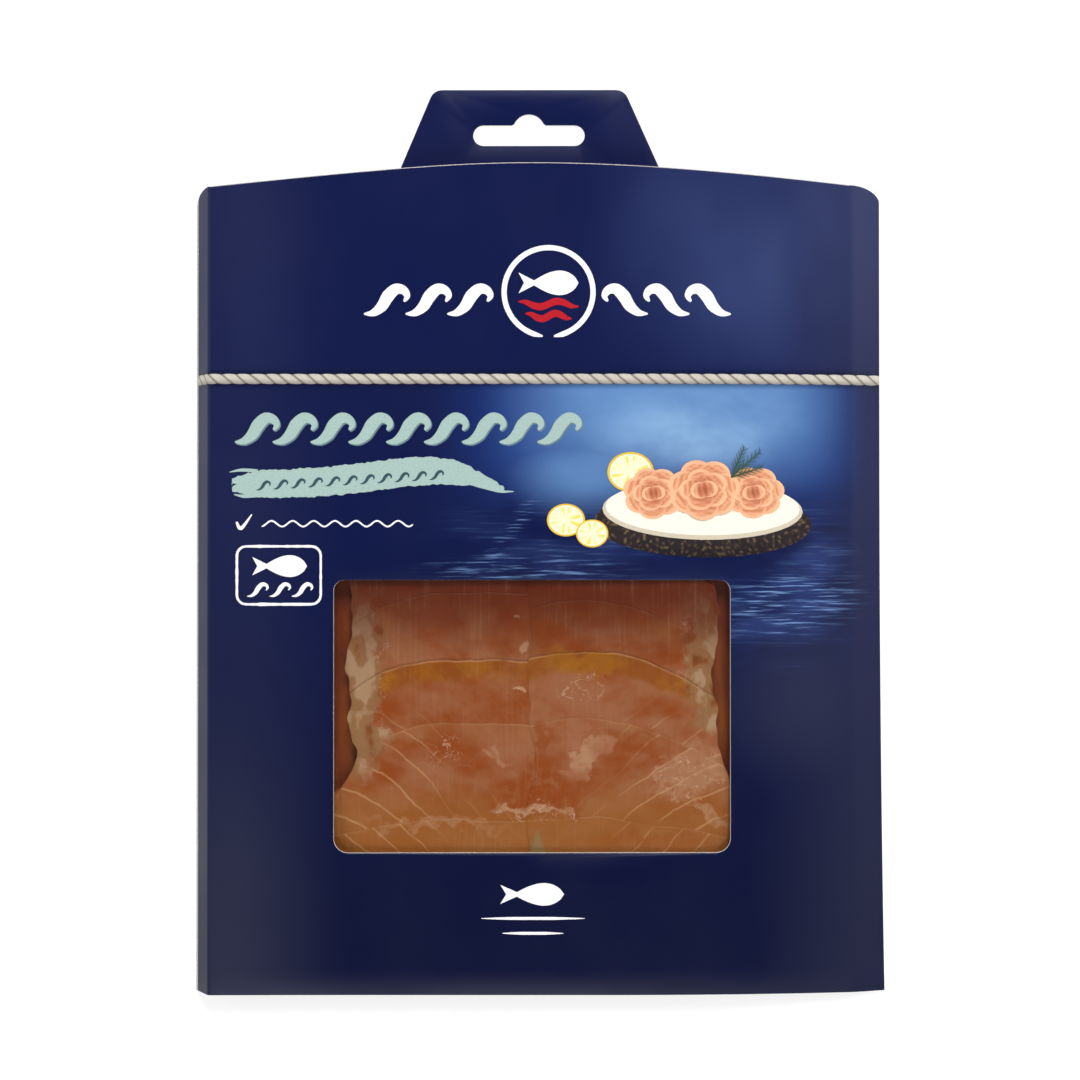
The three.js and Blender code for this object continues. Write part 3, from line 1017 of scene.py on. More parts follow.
class Ink(Enum):
    """Solid inks of the artwork."""

    WHITE = linear(236, 237, 236)
    RED = linear(178, 28, 34)
    MINT = linear(160, 184, 177)
    MINT_EDGE = linear(100, 126, 132)
    SLATE = linear(44, 36, 34)
    CRUMB = linear(112, 92, 66)
    CREAM = linear(240, 234, 218)
    CREAM_SHADE = linear(204, 192, 170)
    FISH = linear(214, 136, 92)
    FISH_LIGHT = linear(240, 182, 142)
    LEMON = linear(238, 214, 92)
    RIND = linear(226, 184, 44)
    PITH = linear(246, 238, 200)
    HERB = linear(66, 88, 60)
    PINE = linear(52, 78, 84)


@dataclass(frozen=True)
class Tint:
    """Colour of a printed shape: one ink, or two in stripes or crumbs, darker towards its foot or a heart."""

    base: Ink
    other: Ink | None = None
    turn: float = 0.0
    pitch: float = 2.4
    crumbs: bool = False
    foot: float | None = None
    heart: Point | None = None
    fade: float = 4.0

    def at(self, x: float, y: float) -> Colour:
        """Colour at a place on the front."""
        colour = self.base.value
        if self.other:
            angle = math.radians(self.turn)
            along = x * math.cos(angle) + y * math.sin(angle) + 0.7 * ripple(x, y, 5.0, 31.0)
            share = 0.5 + 0.5 * math.sin(2 * math.pi * along / self.pitch)
            if self.crumbs:
                share = smooth(0.12, 0.5, ripple(x, y * 1.4, self.pitch, 33.0))
            colour = tuple(lerp(a, b, share) for a, b in zip(colour, self.other.value))
        if self.foot is not None:
            dim = lerp(0.55, 1.0, smooth(self.foot, self.foot + self.fade, y))
            colour = tuple(part * dim for part in colour[:3]) + (1.0,)
        if self.heart is not None:
            away = math.dist((x, y), self.heart)
            dim = lerp(0.42, 1.0, smooth(0.2 * self.fade, self.fade, away))
            colour = tuple(part * dim**power for part, power in zip(colour, (0.7, 1.15, 1.3))) + (1.0,)
        return colour


def oval(
    centre: Point, radii: Point, turn: float = 0.0, span: Span = (0.0, FULL_TURN), steps: int = 36
) -> list[Point]:
    """Points round an ellipse, or round a wedge of it that ends in its middle."""
    angle = math.radians(turn)
    full = span[1] - span[0] >= FULL_TURN
    points = []
    for degrees in spaced(*span, steps)[: steps if full else steps + 1]:
        x, y = around((0.0, 0.0), radii, math.radians(degrees))
        points.append((
            centre[0] + x * math.cos(angle) - y * math.sin(angle),
            centre[1] + x * math.sin(angle) + y * math.cos(angle),
        ))
    return points if full else points + [centre]


def ribbon(points: Sequence[Point], widths: Sequence[float], steps: int = 5) -> list[Point]:
    """Outline of a brush stroke.

    Args:
        points: the stroke's middle line.
        widths: half its width at each of them.
        steps: parts into which each stretch is divided.

    Returns:
        The outline, up one side and down the other.
    """
    path: list[tuple[Vector, float]] = []
    count = len(points)
    for i in range(count - 1):
        four = [Vector(points[clamp_index(k, count)]) for k in (i - 1, i, i + 1, i + 2)]
        for t in spaced(0.0, 1.0, steps)[: steps if i < count - 2 else steps + 1]:
            at = 0.5 * (
                2 * four[1]
                + (four[2] - four[0]) * t
                + (2 * four[0] - 5 * four[1] + 4 * four[2] - four[3]) * t * t
                + (3 * four[1] - four[0] - 3 * four[2] + four[3]) * t**3
            )
            path.append((at, lerp(widths[i], widths[i + 1], t)))
    left, right = [], []
    for i, (at, width) in enumerate(path):
        ahead = path[clamp_index(i + 1, len(path))][0] - path[clamp_index(i - 1, len(path))][0]
        normal = Vector((-ahead.y, ahead.x)).normalized() * width
        left.append((at.x + normal.x, at.y + normal.y))
        right.append((at.x - normal.x, at.y - normal.y))
    return left + right[::-1]


def even_steps(points: Sequence[Point], step: float) -> list[Point]:
    """Places an even distance apart along a chain of points."""
    found = [points[0]]
    for start, end in zip(points, points[1:]):
        parts = max(1, round(math.dist(start, end) / step))
        for share in (k / parts for k in range(1, parts + 1)):
            found.append((lerp(start[0], end[0], share), lerp(start[1], end[1], share)))
    return found


def wave_crest(x: float, y: float, size: float, flip: int = 1, weight: float = 1.0) -> list[Point]:
    """Outline of one curling wave of a running-wave border."""
    middle = ((0, 0.2), (2.4, 0.5), (4.6, 2.2), (6.2, 4.8), (8.2, 6.6), (10.2, 6.3), (11.1, 4.8), (10.3, 3.4))
    half = (0.12, 0.75, 1.15, 1.3, 1.15, 0.9, 0.65, 0.2)
    points = [(x + flip * a * size, y + b * size) for a, b in middle]
    return ribbon(points, [w * size * weight for w in half])


def fish_outline(x: float, y: float, length: float, height: float) -> list[Point]:
    """Outline of a plain fish that looks to the right."""
    upper, lower = [], []
    for share in spaced(0.0, 1.0, 14):
        along = x + length * (0.5 - 0.74 * share)
        swell = 0.5 * height * math.sin(math.pi * min(0.93, share * 0.93) ** 0.75) ** 0.9
        upper.append((along, y + swell))
        lower.append((along, y - swell))
    end, fork = x - 0.5 * length, 0.42 * height
    return upper + [(end, y + fork), (x - 0.41 * length, y), (end, y - fork)] + lower[:0:-1]


@dataclass(frozen=True)
class PrintShape:
    """One flat shape of the artwork, the layer that it lies in and how finely it is divided."""

    outline: Sequence[Point]
    tint: Tint
    layer: int = 1
    step: float = 4.0


@dataclass(frozen=True)
class InkFinish:
    """Opaque inks, a little worn, under the same varnish as the board."""

    worn: Colour = (0.02, 0.03, 0.08, 1.0)
    roughness: float = 0.36

    def material(self) -> Material:
        """Builds the inks."""
        made, s = new_shader("printed_inks")
        flat = s.object_place()[0]
        ink = s.attribute(FrontArtwork.ink_name, "Color")
        spread = s.noise(flat, 1.7, 3.0, 0.65)
        s.surface(
            Base_Color=s.mix(s.rise(spread, 0.3, 0.75, 0.0, 0.16), ink, self.worn),
            Roughness=self.roughness,
            Specular_IOR_Level=VARNISH_SPECULAR,
            Normal=s.bump(s.noise(flat, 2.6, 2.0), 0.1, VARNISH_RELIEF),
        )
        return made


@dataclass
class FrontArtwork:
    """Plain shapes printed on the front: waves, fish, a ring, a brush stroke and a serving dish."""

    ink_name = "ink"

    board: BoardForm
    first_lift: float = 0.022
    layer_lift: float = 0.006
    ring_centre: Point = (2.3, 70.0)
    ring_radius: float = 12.6
    border_left: float = -86.5
    border_pitch: float = 10.7
    mark_x: float = -2.2
    plate_centre: Point = (46.0, 8.9)
    dill_foot: Point = (54.0, 17.5)
    dill_layer: int = 66
    white: Tint = Tint(Ink.WHITE)
    mint: Tint = Tint(Ink.MINT)

    def ring_and_waves(self) -> list[PrintShape]:
        """An open ring with a fish over two red waves, between six running waves."""
        x, y = self.ring_centre
        ring = [around((x, y), (self.ring_radius, self.ring_radius), a) for a in spaced(-1.45, 4.58, 30)]
        shapes = [PrintShape(ribbon(ring, [0.25] + [0.75] * 29 + [0.25], 2), self.white)]
        shapes.append(PrintShape(fish_outline(x, y + 2.6, 17.0, 7.0), self.white))
        for level, reach in ((-3.4, 8.6), (-6.8, 6.6)):
            middle = [(x + reach * t, y + level + 0.8 * math.sin(5.2 * t)) for t in spaced(-1.0, 1.0, 8)]
            half = (0.1, 0.7, 0.95, 1.0, 1.0, 1.0, 0.95, 0.7, 0.1)
            shapes.append(PrintShape(ribbon(middle, half), Tint(Ink.RED)))
        for k in range(3):
            for start, flip in ((-50.0, 1), (54.0, -1)):
                crest = wave_crest(start + flip * 11.8 * k, 63.6, 1.1, flip, 1.25)
                shapes.append(PrintShape(crest, self.white))
        return shapes

    def border(self) -> list[PrintShape]:
        """The mint running-wave border, each wave over a darker one."""
        shapes = []
        for k in range(9):
            x = self.border_left + self.border_pitch * k
            shapes.append(PrintShape(wave_crest(x + 0.35, 26.9, 1.06, 1, 1.3), Tint(Ink.MINT_EDGE), 1))
            shapes.append(PrintShape(wave_crest(x, 27.3, 1.06, 1, 1.3), self.mint, 2))
        return shapes

    def brush_stroke(self) -> list[PrintShape]:
        """The ragged brush stroke with its three thin tails and a row of small dark waves."""
        middle = (
            *((-87.2, 15.4), (-79.0, 15.7), (-66.0, 16.0), (-54.0, 17.0), (-43.0, 18.4)),
            *((-33.0, 19.3), (-24.5, 18.8), (-17.5, 16.9), (-10.3, 14.3)),
        )
        half = (1.7, 3.9, 4.1, 4.1, 4.15, 4.0, 3.5, 2.0, 0.3)
        notch = [(-87.6, 16.2), (-85.9, 15.6), (-87.4, 14.6)]
        ragged = []
        for x, y in even_steps(ribbon(middle, half, 7) + notch, 0.7):
            ragged.append((x + 0.3 * ripple(x, y, 0.9, 41.0), y + 0.5 * ripple(x, y, 1.2, 42.0)))
        shapes = [PrintShape(ragged, self.mint, 1)]
        for points, half in (
            (((-24.0, 17.2), (-17.0, 15.2), (-11.5, 13.6), (-7.6, 13.5)), (0.6, 0.7, 0.45, 0.1)),
            (((-80.0, 19.3), (-84.5, 19.6), (-88.0, 19.0)), (0.5, 0.45, 0.1)),
            (((-80.0, 12.4), (-84.0, 12.2), (-86.8, 12.7)), (0.5, 0.5, 0.1)),
        ):
            shapes.append(PrintShape(ribbon(points, half), self.mint, 2))
        for k in range(11):
            x = -80.5 + 4.9 * k
            shapes.append(PrintShape(wave_crest(x, 13.9 + 0.06 * (x + 80.0), 0.36), Tint(Ink.PINE), 2))
        return shapes

    def small_marks(self) -> list[PrintShape]:
        """The check mark with a wavy line, the framed fish, and the fish over two lines below the window."""
        line = [(x, 4.4 + 0.8 * math.sin(x / 0.95)) for x in spaced(-79.0, -36.0, 84)]
        outlines = [
            ribbon(((-86.0, 4.9), (-84.7, 3.1), (-81.7, 7.0)), (0.3, 0.55, 0.15)),
            ribbon(line, [0.05] + [0.24] * 83 + [0.05], 2),
        ]
        corners = Opening(-85.9, -62.2, -18.4, -2.0, 2.6, 2.6).outline(steps=4)
        for part in (corners[2:8], corners[7:13], corners[12:18], corners[17:] + corners[:3]):
            side = even_steps(part, 1.0)
            outlines.append(ribbon(side, [0.30 + 0.30 * abs(ripple(x, y, 1.6, 43.0)) for x, y in side], 1))
        outlines.append(fish_outline(-73.8, -7.6, 15.5, 6.2))
        outlines += [wave_crest(-83.0 + 6.3 * k, -16.2, 0.52) for k in range(3)]
        outlines.append(fish_outline(-2.4, -100.4, 18.0, 6.4))
        for y, reach in ((-107.2, 14.6), (-111.4, 8.6)):
            middle = [(self.mark_x + reach * share, y) for share in (-1.0, -0.4, 0.4, 1.0)]
            outlines.append(ribbon(middle, (0.08, 0.42, 0.42, 0.08)))
        return [PrintShape(outline, self.white) for outline in outlines]

    def serving_dish(self) -> list[PrintShape]:
        """A serving dish on a slate, with rolled slices, lemon wheels and dill."""
        fine = 0.9
        x, y = self.plate_centre
        slate = Tint(Ink.SLATE, Ink.CRUMB, pitch=0.9, crumbs=True, foot=-6.0, fade=7.0)
        shapes = [
            PrintShape(oval((x, 4.4), (31.0, 9.6), -1.0), slate, 1, 0.6),
            PrintShape(oval((x, 8.2), (28.5, 8.4), -1.0), Tint(Ink.CREAM_SHADE), 2, fine),
            PrintShape(oval((x, y), (27.6, 7.8), -1.0), Tint(Ink.CREAM), 3, fine),
        ]
        shapes += self.lemon_wheel((25.5, 19.0), 6.6, 4)
        for centre, size, layer in (((32.0, 13.0), 8.0, 8), ((60.5, 13.2), 8.0, 8), ((46.3, 14.0), 9.4, 36)):
            shapes += self.rose(centre, size, layer)
        shapes += self.lemon_wheel((7.2, 5.4), 5.4, 1)
        shapes += self.lemon_wheel((14.6, 1.6), 4.6, 4)
        for lean, reach in ((24.0, 9.5), (48.0, 11.5), (72.0, 9.5)):
            shapes += self.dill(lean, reach)
        return shapes

    def rose(self, centre: Point, radius: float, layer: int) -> list[PrintShape]:
        """A served slice rolled into a rose: rings of petals with light rims.

        Args:
            centre: its middle.
            radius: about half its width.
            layer: lowest layer that it takes.

        Returns:
            The shapes of its petals, those at the back first.
        """
        flat = 0.84
        shapes = []
        for reach, count, size in ((0.60, 7, 0.50), (0.36, 5, 0.40), (0.12, 2, 0.30)):
            angles = [math.radians(360 / count * k + 100 * reach) for k in range(count)]
            for turn in sorted(angles, key=math.sin, reverse=True):
                for part, inks in ((1.0, (Ink.FISH_LIGHT, None)), (0.87, (Ink.FISH, Ink.FISH_LIGHT))):
                    away = radius * (reach - 0.5 * (1 - part))
                    at = around(centre, (away, flat * away), turn)
                    radii = (part * size * radius, part * size * radius * flat)
                    fade = radius * (reach + 0.8 * size)
                    tint = Tint(*inks, math.degrees(turn), 1.5, heart=centre, fade=fade)
                    shapes.append(PrintShape(oval(at, radii, steps=22), tint, layer + len(shapes), 0.8))
        return shapes

    def lemon_wheel(self, centre: Point, radius: float, layer: int) -> list[PrintShape]:
        """A slice of lemon with its rind, pith and segments."""
        tall = 0.86 * radius
        shapes = [
            PrintShape(oval(centre, (radius, tall)), Tint(Ink.RIND), layer, 2.0),
            PrintShape(oval(centre, (radius * 0.9, tall * 0.9)), Tint(Ink.PITH), layer + 1, 2.0),
        ]
        for k in range(8):
            start = 45.0 * k + 5.0
            tip = around(centre, (0.14 * radius, 0.14 * tall), math.radians(start + 17.5))
            wedge = oval(tip, (radius * 0.66, tall * 0.66), 0.0, (start, start + 35.0), 6)
            shapes.append(PrintShape(wedge, Tint(Ink.LEMON, Ink.PITH, start + 107.0, 2.8), layer + 2, 0.9))
        return shapes

    def dill(self, lean: float, reach: float) -> list[PrintShape]:
        """A sprig of dill: a stem with short side strokes."""
        angle = math.radians(90.0 - lean)
        ahead = Vector((math.cos(angle), math.sin(angle)))
        foot = Vector(self.dill_foot)
        stem = [tuple(foot + ahead * reach * t) for t in (0.0, 0.5, 1.0)]
        outlines = [ribbon(stem, (0.22, 0.2, 0.06))]
        for k in range(12):
            at = foot + ahead * reach * (0.18 + 0.068 * k)
            side = angle + (1 if k % 2 else -1) * math.radians(38.0)
            tip = at + Vector((math.cos(side), math.sin(side))) * (2.9 - 0.12 * k)
            outlines.append(ribbon((tuple(at), tuple(at.lerp(tip, 0.5)), tuple(tip)), (0.12, 0.11, 0.04), 3))
        return [PrintShape(outline, Tint(Ink.HERB), self.dill_layer) for outline in outlines]

    def lay(self, bm: BMesh, shape: PrintShape) -> None:
        """Cuts one shape, divides it and lays it on the front.

        Args:
            bm: the mesh that takes it.
            shape: the shape to lay.
        """
        part = bmesh.new()
        ink = part.loops.layers.float_color.new(self.ink_name)
        fill(part, make_loop(part, shape.outline))
        for axis, normal in enumerate((Vector((1.0, 0.0, 0.0)), Vector((0.0, 1.0, 0.0)))):
            places = [vert.co[axis] / shape.step for vert in part.verts]
            for k in range(math.ceil(min(places)), math.floor(max(places)) + 1):
                geometry = part.verts[:] + part.edges[:] + part.faces[:]
                cut = normal * (k * shape.step)
                bmesh.ops.bisect_plane(part, geom=geometry, dist=1e-5, plane_co=cut, plane_no=normal)
        for face in part.faces:
            if face.normal.z < 0:
                face.normal_flip()
            for loop in face.loops:
                loop[ink] = shape.tint.at(loop.vert.co.x, loop.vert.co.y)
        lift = Vector((0.0, 0.0, self.first_lift + self.layer_lift * shape.layer))
        for vert in part.verts:
            vert.co = self.board.outer_place(vert.co.x, vert.co.y) + lift
        mesh = bpy.data.meshes.new("shape")
        part.to_mesh(mesh)
        part.free()
        bm.from_mesh(mesh)
        bpy.data.meshes.remove(mesh)

    def build(self) -> None:
        """Builds and dresses the artwork."""
        bm = bmesh.new()
        bm.loops.layers.float_color.new(self.ink_name)
        shapes = self.ring_and_waves() + self.border() + self.brush_stroke()
        for shape in shapes + self.small_marks() + self.serving_dish():
            self.lay(bm, shape)
        piece = make_object(bm, "front_artwork", [InkFinish().material()])
        finish_piece(piece, Slot.BOARD)


# The pouch and what is in it


@dataclass(frozen=True)
class ColumnForm:
    """Sizes of one column of slices.

    Each upper edge is highest at the peak, a distance from the seam. It falls away
    beyond it and a little towards the seam. The column's outer side is shown in two
    straight parts, with a change between two heights.
    """

    edges: tuple[float, ...]
    peak: float
    outer_fall: float
    outer_span: float
    outer_power: float
    inner_fall: float
    upper_side: float
    lower_side: float
    change: Span


@dataclass(frozen=True)
class StackForm:
    """Sizes of the stack of slices: two columns of rows that overlap like shingles."""

    left: ColumnForm = ColumnForm(
        edges=(82.0, 66.8, 50.3, 33.8, 17.3, 0.8, -15.2, -34.2, -52.1, -79.6, -96.5),
        peak=22.0,
        outer_fall=4.5,
        outer_span=20.4,
        outer_power=2.2,
        inner_fall=0.5,
        upper_side=-54.4,
        lower_side=-66.4,
        change=(-60.0, -68.0),
    )
    right: ColumnForm = ColumnForm(
        edges=(82.0, 66.8, 50.3, 33.8, 17.3, 0.8, -17.4, -31.8, -50.7, -79.0, -96.0),
        peak=17.0,
        outer_fall=7.8,
        outer_span=26.2,
        outer_power=1.8,
        inner_fall=2.4,
        upper_side=49.4,
        lower_side=61.0,
        change=(-51.0, -64.0),
    )
    card_top: float = 1.42
    least_lift: float = 0.05
    top: float = 5.45
    steps: tuple[float, ...] = (0.5, 0.5, 0.5, 0.5, 0.5, 0.5, 0.26, 0.62, 0.17, 0.14, 0.4)
    bands: tuple[float, ...] = (0.6, 0.6, 0.6, 0.6, 0.6, 0.6, 0.30, 1.0, 0.10, 0.0, 0.5)
    hidden_step: float = 0.5
    bridge_length: float = 1.8
    seam: float = -3.5
    seam_bulge: float = 2.4
    seam_depth: float = 0.34
    seam_half_width: float = 5.0
    centre_x: float = -2.8
    centre_y: float = -12.0
    half_width: float = 64.0
    half_length: float = 95.0
    side_margin: float = 1.5
    squareness: float = 5.0
    shoulder: float = 0.12
    farthest_fall: float = 1.7
    curved_rows: int = 9
    straighter: float = 0.35
    end_y: float = -106.0

    def column(self, side: Side) -> ColumnForm:
        """The sizes of one column."""
        return self.left if side is Side.LEFT else self.right

    def seam_x(self, y: float) -> float:
        """Where the two columns meet."""
        bulge = self.seam_bulge * smooth(-75.0, -65.0, y) * smooth(-50.0, -60.0, y)
        return self.seam + bulge + 1.6 * ripple(0.0, y, 17.0, 3.0) + 0.8 * ripple(0.0, y, 5.0, 4.0)

    def levels(self, side: Side) -> tuple[float, ...]:
        """Highest points of the upper edges in one column, and the end of the stack."""
        return self.column(side).edges + (self.end_y,)

    def drop(self, side: Side, row: int, offset: float) -> float:
        """How far an upper edge lies below its highest point, at a distance from the seam."""
        column = self.column(side)
        away = (offset - column.peak) / column.outer_span
        if away > 0:
            fall = column.outer_fall * min(away, self.farthest_fall) ** column.outer_power
        else:
            fall = column.inner_fall * (1 - max(offset, 0.0) / column.peak) ** 2
        curve = 1.0 if row < self.curved_rows else self.straighter
        wobble = 0.9 * ripple(offset, row * 9.0, 14.0, side.value * 2.0)
        nicks = 0.35 * ripple(offset, row * 7.0, 3.4, side.value * 6.0)
        return fall * curve + wobble + nicks

    def row_y(self, side: Side, offset: float, row: float) -> float:
        """Y of a place counted in rows, at a distance from the seam."""
        levels = self.levels(side)
        low = min(int(math.floor(row)), len(levels) - 2)
        start = levels[low] - self.drop(side, low, offset)
        last = low + 1 == len(levels) - 1
        end = levels[low + 1] - (0.0 if last else self.drop(side, low + 1, offset))
        return lerp(start, end, row - low)

    def row_at(self, side: Side, offset: float, y: float) -> float:
        """The place counted in rows at a Y, the inverse of row_y."""
        count = len(self.levels(side)) - 1
        for low in range(count):
            end = self.row_y(side, offset, low + 1 - 1e-6)
            if y >= end:
                start = self.row_y(side, offset, low)
                return low + (start - y) / (start - end)
        return float(count)

    def outer_x(self, side: Side, y: float) -> float:
        """Outer edge of a column: it leaves a strip of card bare beside the upper part of the window."""
        column = self.column(side)
        ragged = 0.8 * ripple(side.value * 9.0, y, 9.0, 5.0) + 0.3 * ripple(side.value * 9.0, y, 2.5, 6.0)
        hidden = smooth(-2.0, 14.0, y)
        shown = lerp(column.upper_side, column.lower_side, smooth(*column.change, y))
        wide = self.centre_x + side.value * (self.half_width - self.side_margin)
        return lerp(shown, wide, hidden) + ragged

    def share(self, x: float, y: float) -> float:
        """1 inside the stack, falling to 0 at its outline."""
        across = abs((x - self.centre_x) / self.half_width)
        along = abs((y - self.centre_y) / self.half_length)
        radius = (across**self.squareness + along**self.squareness) ** (1 / self.squareness)
        return math.sqrt(clamp((1 - radius) / self.shoulder))

    def lift(self, first: int, above: float) -> float:
        """How far a slice stands above the stack's level, so many rows below its upper edge."""
        step = self.steps[first] if above < 1 else self.hidden_step
        return step * (1 - above)

    def layer_z(self, x: float, y: float, lift: float) -> float:
        """Height of a slice's upper side.

        Args:
            x: place across.
            y: place along.
            lift: how far it stands above the stack's level.

        Returns:
            The height.
        """
        seam = clamp(1 - abs(x - self.seam_x(y)) / self.seam_half_width)
        lump = 0.16 * ripple(x, y, 13.0, 7.0) + 0.05 * ripple(x, y, 4.0, 8.0)
        top = self.top + lift - self.seam_depth * seam + lump
        share = self.share(x, y)
        return max(self.card_top + self.least_lift, self.card_top + (top - self.card_top) * share)

    def cover_z(self, x: float, y: float) -> float:
        """Height of the top of the stack, with each step drawn out as film draws it."""
        side = Side.LEFT if x < self.seam_x(y) else Side.RIGHT
        offset = abs(x - self.seam_x(y))
        row = self.row_at(side, offset, y)
        first = clamp_index(math.floor(row), len(self.steps))
        lift = self.lift(first, row - first)
        if first + 1 < len(self.steps):
            bridge = clamp(1 - (y - self.row_y(side, offset, first + 1)) / self.bridge_length)
            lift = lerp(lift, self.steps[first + 1], bridge * bridge)
        return self.layer_z(x, y, lift)


@dataclass(frozen=True)
class FleshFinish:
    """Smoked salmon: orange flesh, a darker ochre band at the upper edge, pale fat lines."""

    pink: Colour = linear(142, 89, 57)
    orange: Colour = linear(130, 60, 13)
    tan: Colour = linear(138, 84, 32)
    ochre: Colour = linear(128, 66, 6)
    yellow: Colour = linear(148, 92, 12)
    fat: Colour = linear(172, 128, 86)
    dark: Colour = linear(80, 24, 3)
    # Milky film where it stands off the fish, partly painted highlight; also the colour of the painted streak
    # highlights.
    milky_glint: Colour = linear(174, 136, 104)
    notch: Colour = linear(124, 106, 70)
    # Pale lines along the film's creases where it stands off the fish, partly painted highlight.
    crease: Colour = linear(196, 164, 138)
    side_deep: Colour = linear(112, 58, 18)
    side_middle: Colour = linear(132, 96, 62)
    side_pale: Colour = linear(160, 132, 102)
    line_pitch: float = 7.6
    notch_tip: Point = (-0.9, -81.9)
    notch_slope: float = 0.36
    # Areas of the painted crease highlights.
    crease_glint_areas: tuple[Spot, ...] = (
        Spot((41.0, -67.0), (13.0, 10.0), core=0.5),
        Spot((-49.5, -33.0), (7.0, 30.0), core=0.5),
        Spot((45.5, -28.0), (7.0, 24.0), core=0.5),
        Spot((-1.0, -77.5), (17.0, 4.0), core=0.5),
        Spot((-27.0, -62.0), (9.0, 7.0), core=0.5),
        Spot((12.0, -41.0), (10.0, 5.0), 20.0, 0.5),
    )

    def slices(
        self, s: Shader, place: Sequence[Socket], cut: Sequence[Socket], waves: Sequence[Socket]
    ) -> Socket:
        """The flesh of each slice, with its band, its fat lines and a painted highlight along its upper edge.

        Args:
            s: the shader being built.
            place: flat place in millimetres, its X and its Y.
            cut: flat place on the slice, its distance from the seam and from the upper edge.
            waves: wave of the fat lines, noise that bends the marks, noise of large patches.

        Returns:
            The colour of the slices.
        """
        flat, _, y = place
        _, across, below = cut
        line, warp, large = waves
        banded = s.attribute(SalmonSlices.band_name)
        mottle = s.total(large, s.product(s.attribute(SalmonSlices.tone_name), 0.22))
        colour = s.mix(s.rise(mottle, 0.42, 0.78), self.orange, self.pink)
        colour = s.mix(s.rise(y, -64.0, -82.0, 0.0, 0.75), colour, self.tan)
        band = s.product(s.rise(s.total(below, s.product(warp, 4.0)), 8.8, 6.4), banded)
        ochre = s.mix(s.rise(s.noise(flat, 0.12, 3.0), 0.4, 0.7), self.ochre, self.yellow)
        colour = s.mix(s.product(band, 0.88), colour, ochre)
        outer = s.product(s.rise(across, 20.0, 34.0), s.rise(y, -46.0, -58.0))
        reach = s.highest(s.rise(below, 12.0, 26.0, 0.08, 0.30), outer)
        breaks = s.rise(s.noise(flat, 0.12, 2.0), 0.26, 0.52)
        colour = s.mix(s.product(s.rise(line, 0.945, 0.999), reach, breaks, 0.6), colour, self.fat)
        # Painted highlight: a thin pale line, in the fat colour, just below each slice's upper edge.
        edge_glint = s.product(s.highest(banded, 0.4), s.rise(breaks, 0.1, 0.9, 0.25, 1.0))
        return s.mix(s.product(s.rise(below, 0.7, 0.1), edge_glint, 0.5), colour, self.fat)

    def fat_line(self, s: Shader, cut: Sequence[Socket], warp: Socket) -> Socket:
        """Wave across the slices that is highest in the middle of each slanting fat line."""
        _, across, below = cut
        slant = s.total(across, s.product(below, 0.9))
        phase = s.total(s.product(slant, 1 / self.line_pitch), s.product(warp, 0.4))
        return s.math("COSINE", s.product(phase, 2 * math.pi))

    def patches(self, s: Shader, flat: Socket, colour: Socket) -> Socket:
        """Pale and dark patches of the shown slices, the milky ones partly painted highlight on the film, and
        painted crease highlights over them.

        Args:
            s: the shader being built.
            flat: flat place in millimetres.
            colour: colour under them.

        Returns:
            The colour with the patches.
        """
        edge = s.noise(flat, 0.34, 3.0, 0.6)
        drift = s.node("ShaderNodeTexNoise", {"Vector": flat, "Scale": 0.17, "Detail": 3.0}).outputs["Color"]
        centred = s.vector_math("SUBTRACT", drift, (0.5, 0.5, 0.5))
        loose = s.vector_math("ADD", flat, s.vector_math("MULTIPLY", centred, (14.0, 14.0, 0.0)))
        # Milky patches: film standing off the fish, partly painted highlight; the small milky spots by the
        # seam are painted glints.
        for tint, strength, spot in (
            (self.milky_glint, 0.55, Spot((13.0, -62.3), (9.5, 4.6), 52.0, 0.25)),
            (self.milky_glint, 0.35, Spot((-11.8, -60.8), (5.0, 2.0), -45.0, 0.35)),
            (self.milky_glint, 0.30, Spot((10.0, -55.5), (5.0, 2.6), 60.0, 0.35)),
            (self.pink, 0.75, Spot((7.3, -53.6), (11.0, 7.5), 40.0, 0.5)),
            (self.milky_glint, 0.40, Spot((47.6, -77.8), (6.5, 2.8), -25.0, 0.4)),
            (self.orange, 0.75, Spot((0.3, -58.8), (3.0, 8.6), 4.0, 0.5)),
            (self.orange, 0.98, Spot((0.0, -71.5), (20.0, 10.0), 0.0, 0.6)),
            (self.milky_glint, 0.95, Spot((-6.7, -22.8), (1.7, 1.3), 0.0, 0.5)),
            (self.milky_glint, 0.95, Spot((-6.4, -42.9), (1.8, 1.6), 0.0, 0.5)),
            (self.milky_glint, 0.70, Spot((-4.2, -30.9), (1.1, 3.4), 0.0, 0.5)),
            (self.milky_glint, 0.32, Spot((41.0, -66.5), (12.0, 8.5), 20.0, 0.3)),
            (self.milky_glint, 0.60, Spot((-2.5, -77.0), (13.0, 1.5), 0.0, 0.5)),
            (self.pink, 0.60, Spot((-12.0, -40.0), (12.0, 5.0), 10.0, 0.8)),
            (self.milky_glint, 0.28, Spot((-30.0, -81.0), (26.0, 1.6), -2.0, 0.6)),
            (self.orange, 0.80, Spot((27.0, -58.0), (15.0, 6.0), -8.0, 0.7)),
            (self.orange, 0.50, Spot((-24.0, -62.0), (17.0, 10.0), -30.0, 0.8)),
            (self.yellow, 0.70, Spot((12.5, -34.6), (17.0, 3.6), -6.0, 0.6)),
            (self.pink, 0.50, Spot((-25.0, -46.0), (14.0, 6.0), 0.0, 0.6)),
            (self.orange, 0.40, Spot((32.0, -86.0), (24.0, 6.0), 0.0, 0.6)),
        ):
            ragged = s.product(s.spot(loose, spot), s.rise(edge, 0.3, 0.55, 0.35, 1.0), strength)
            colour = s.mix(ragged, colour, tint)
        return self.crease_glints(s, loose, colour)

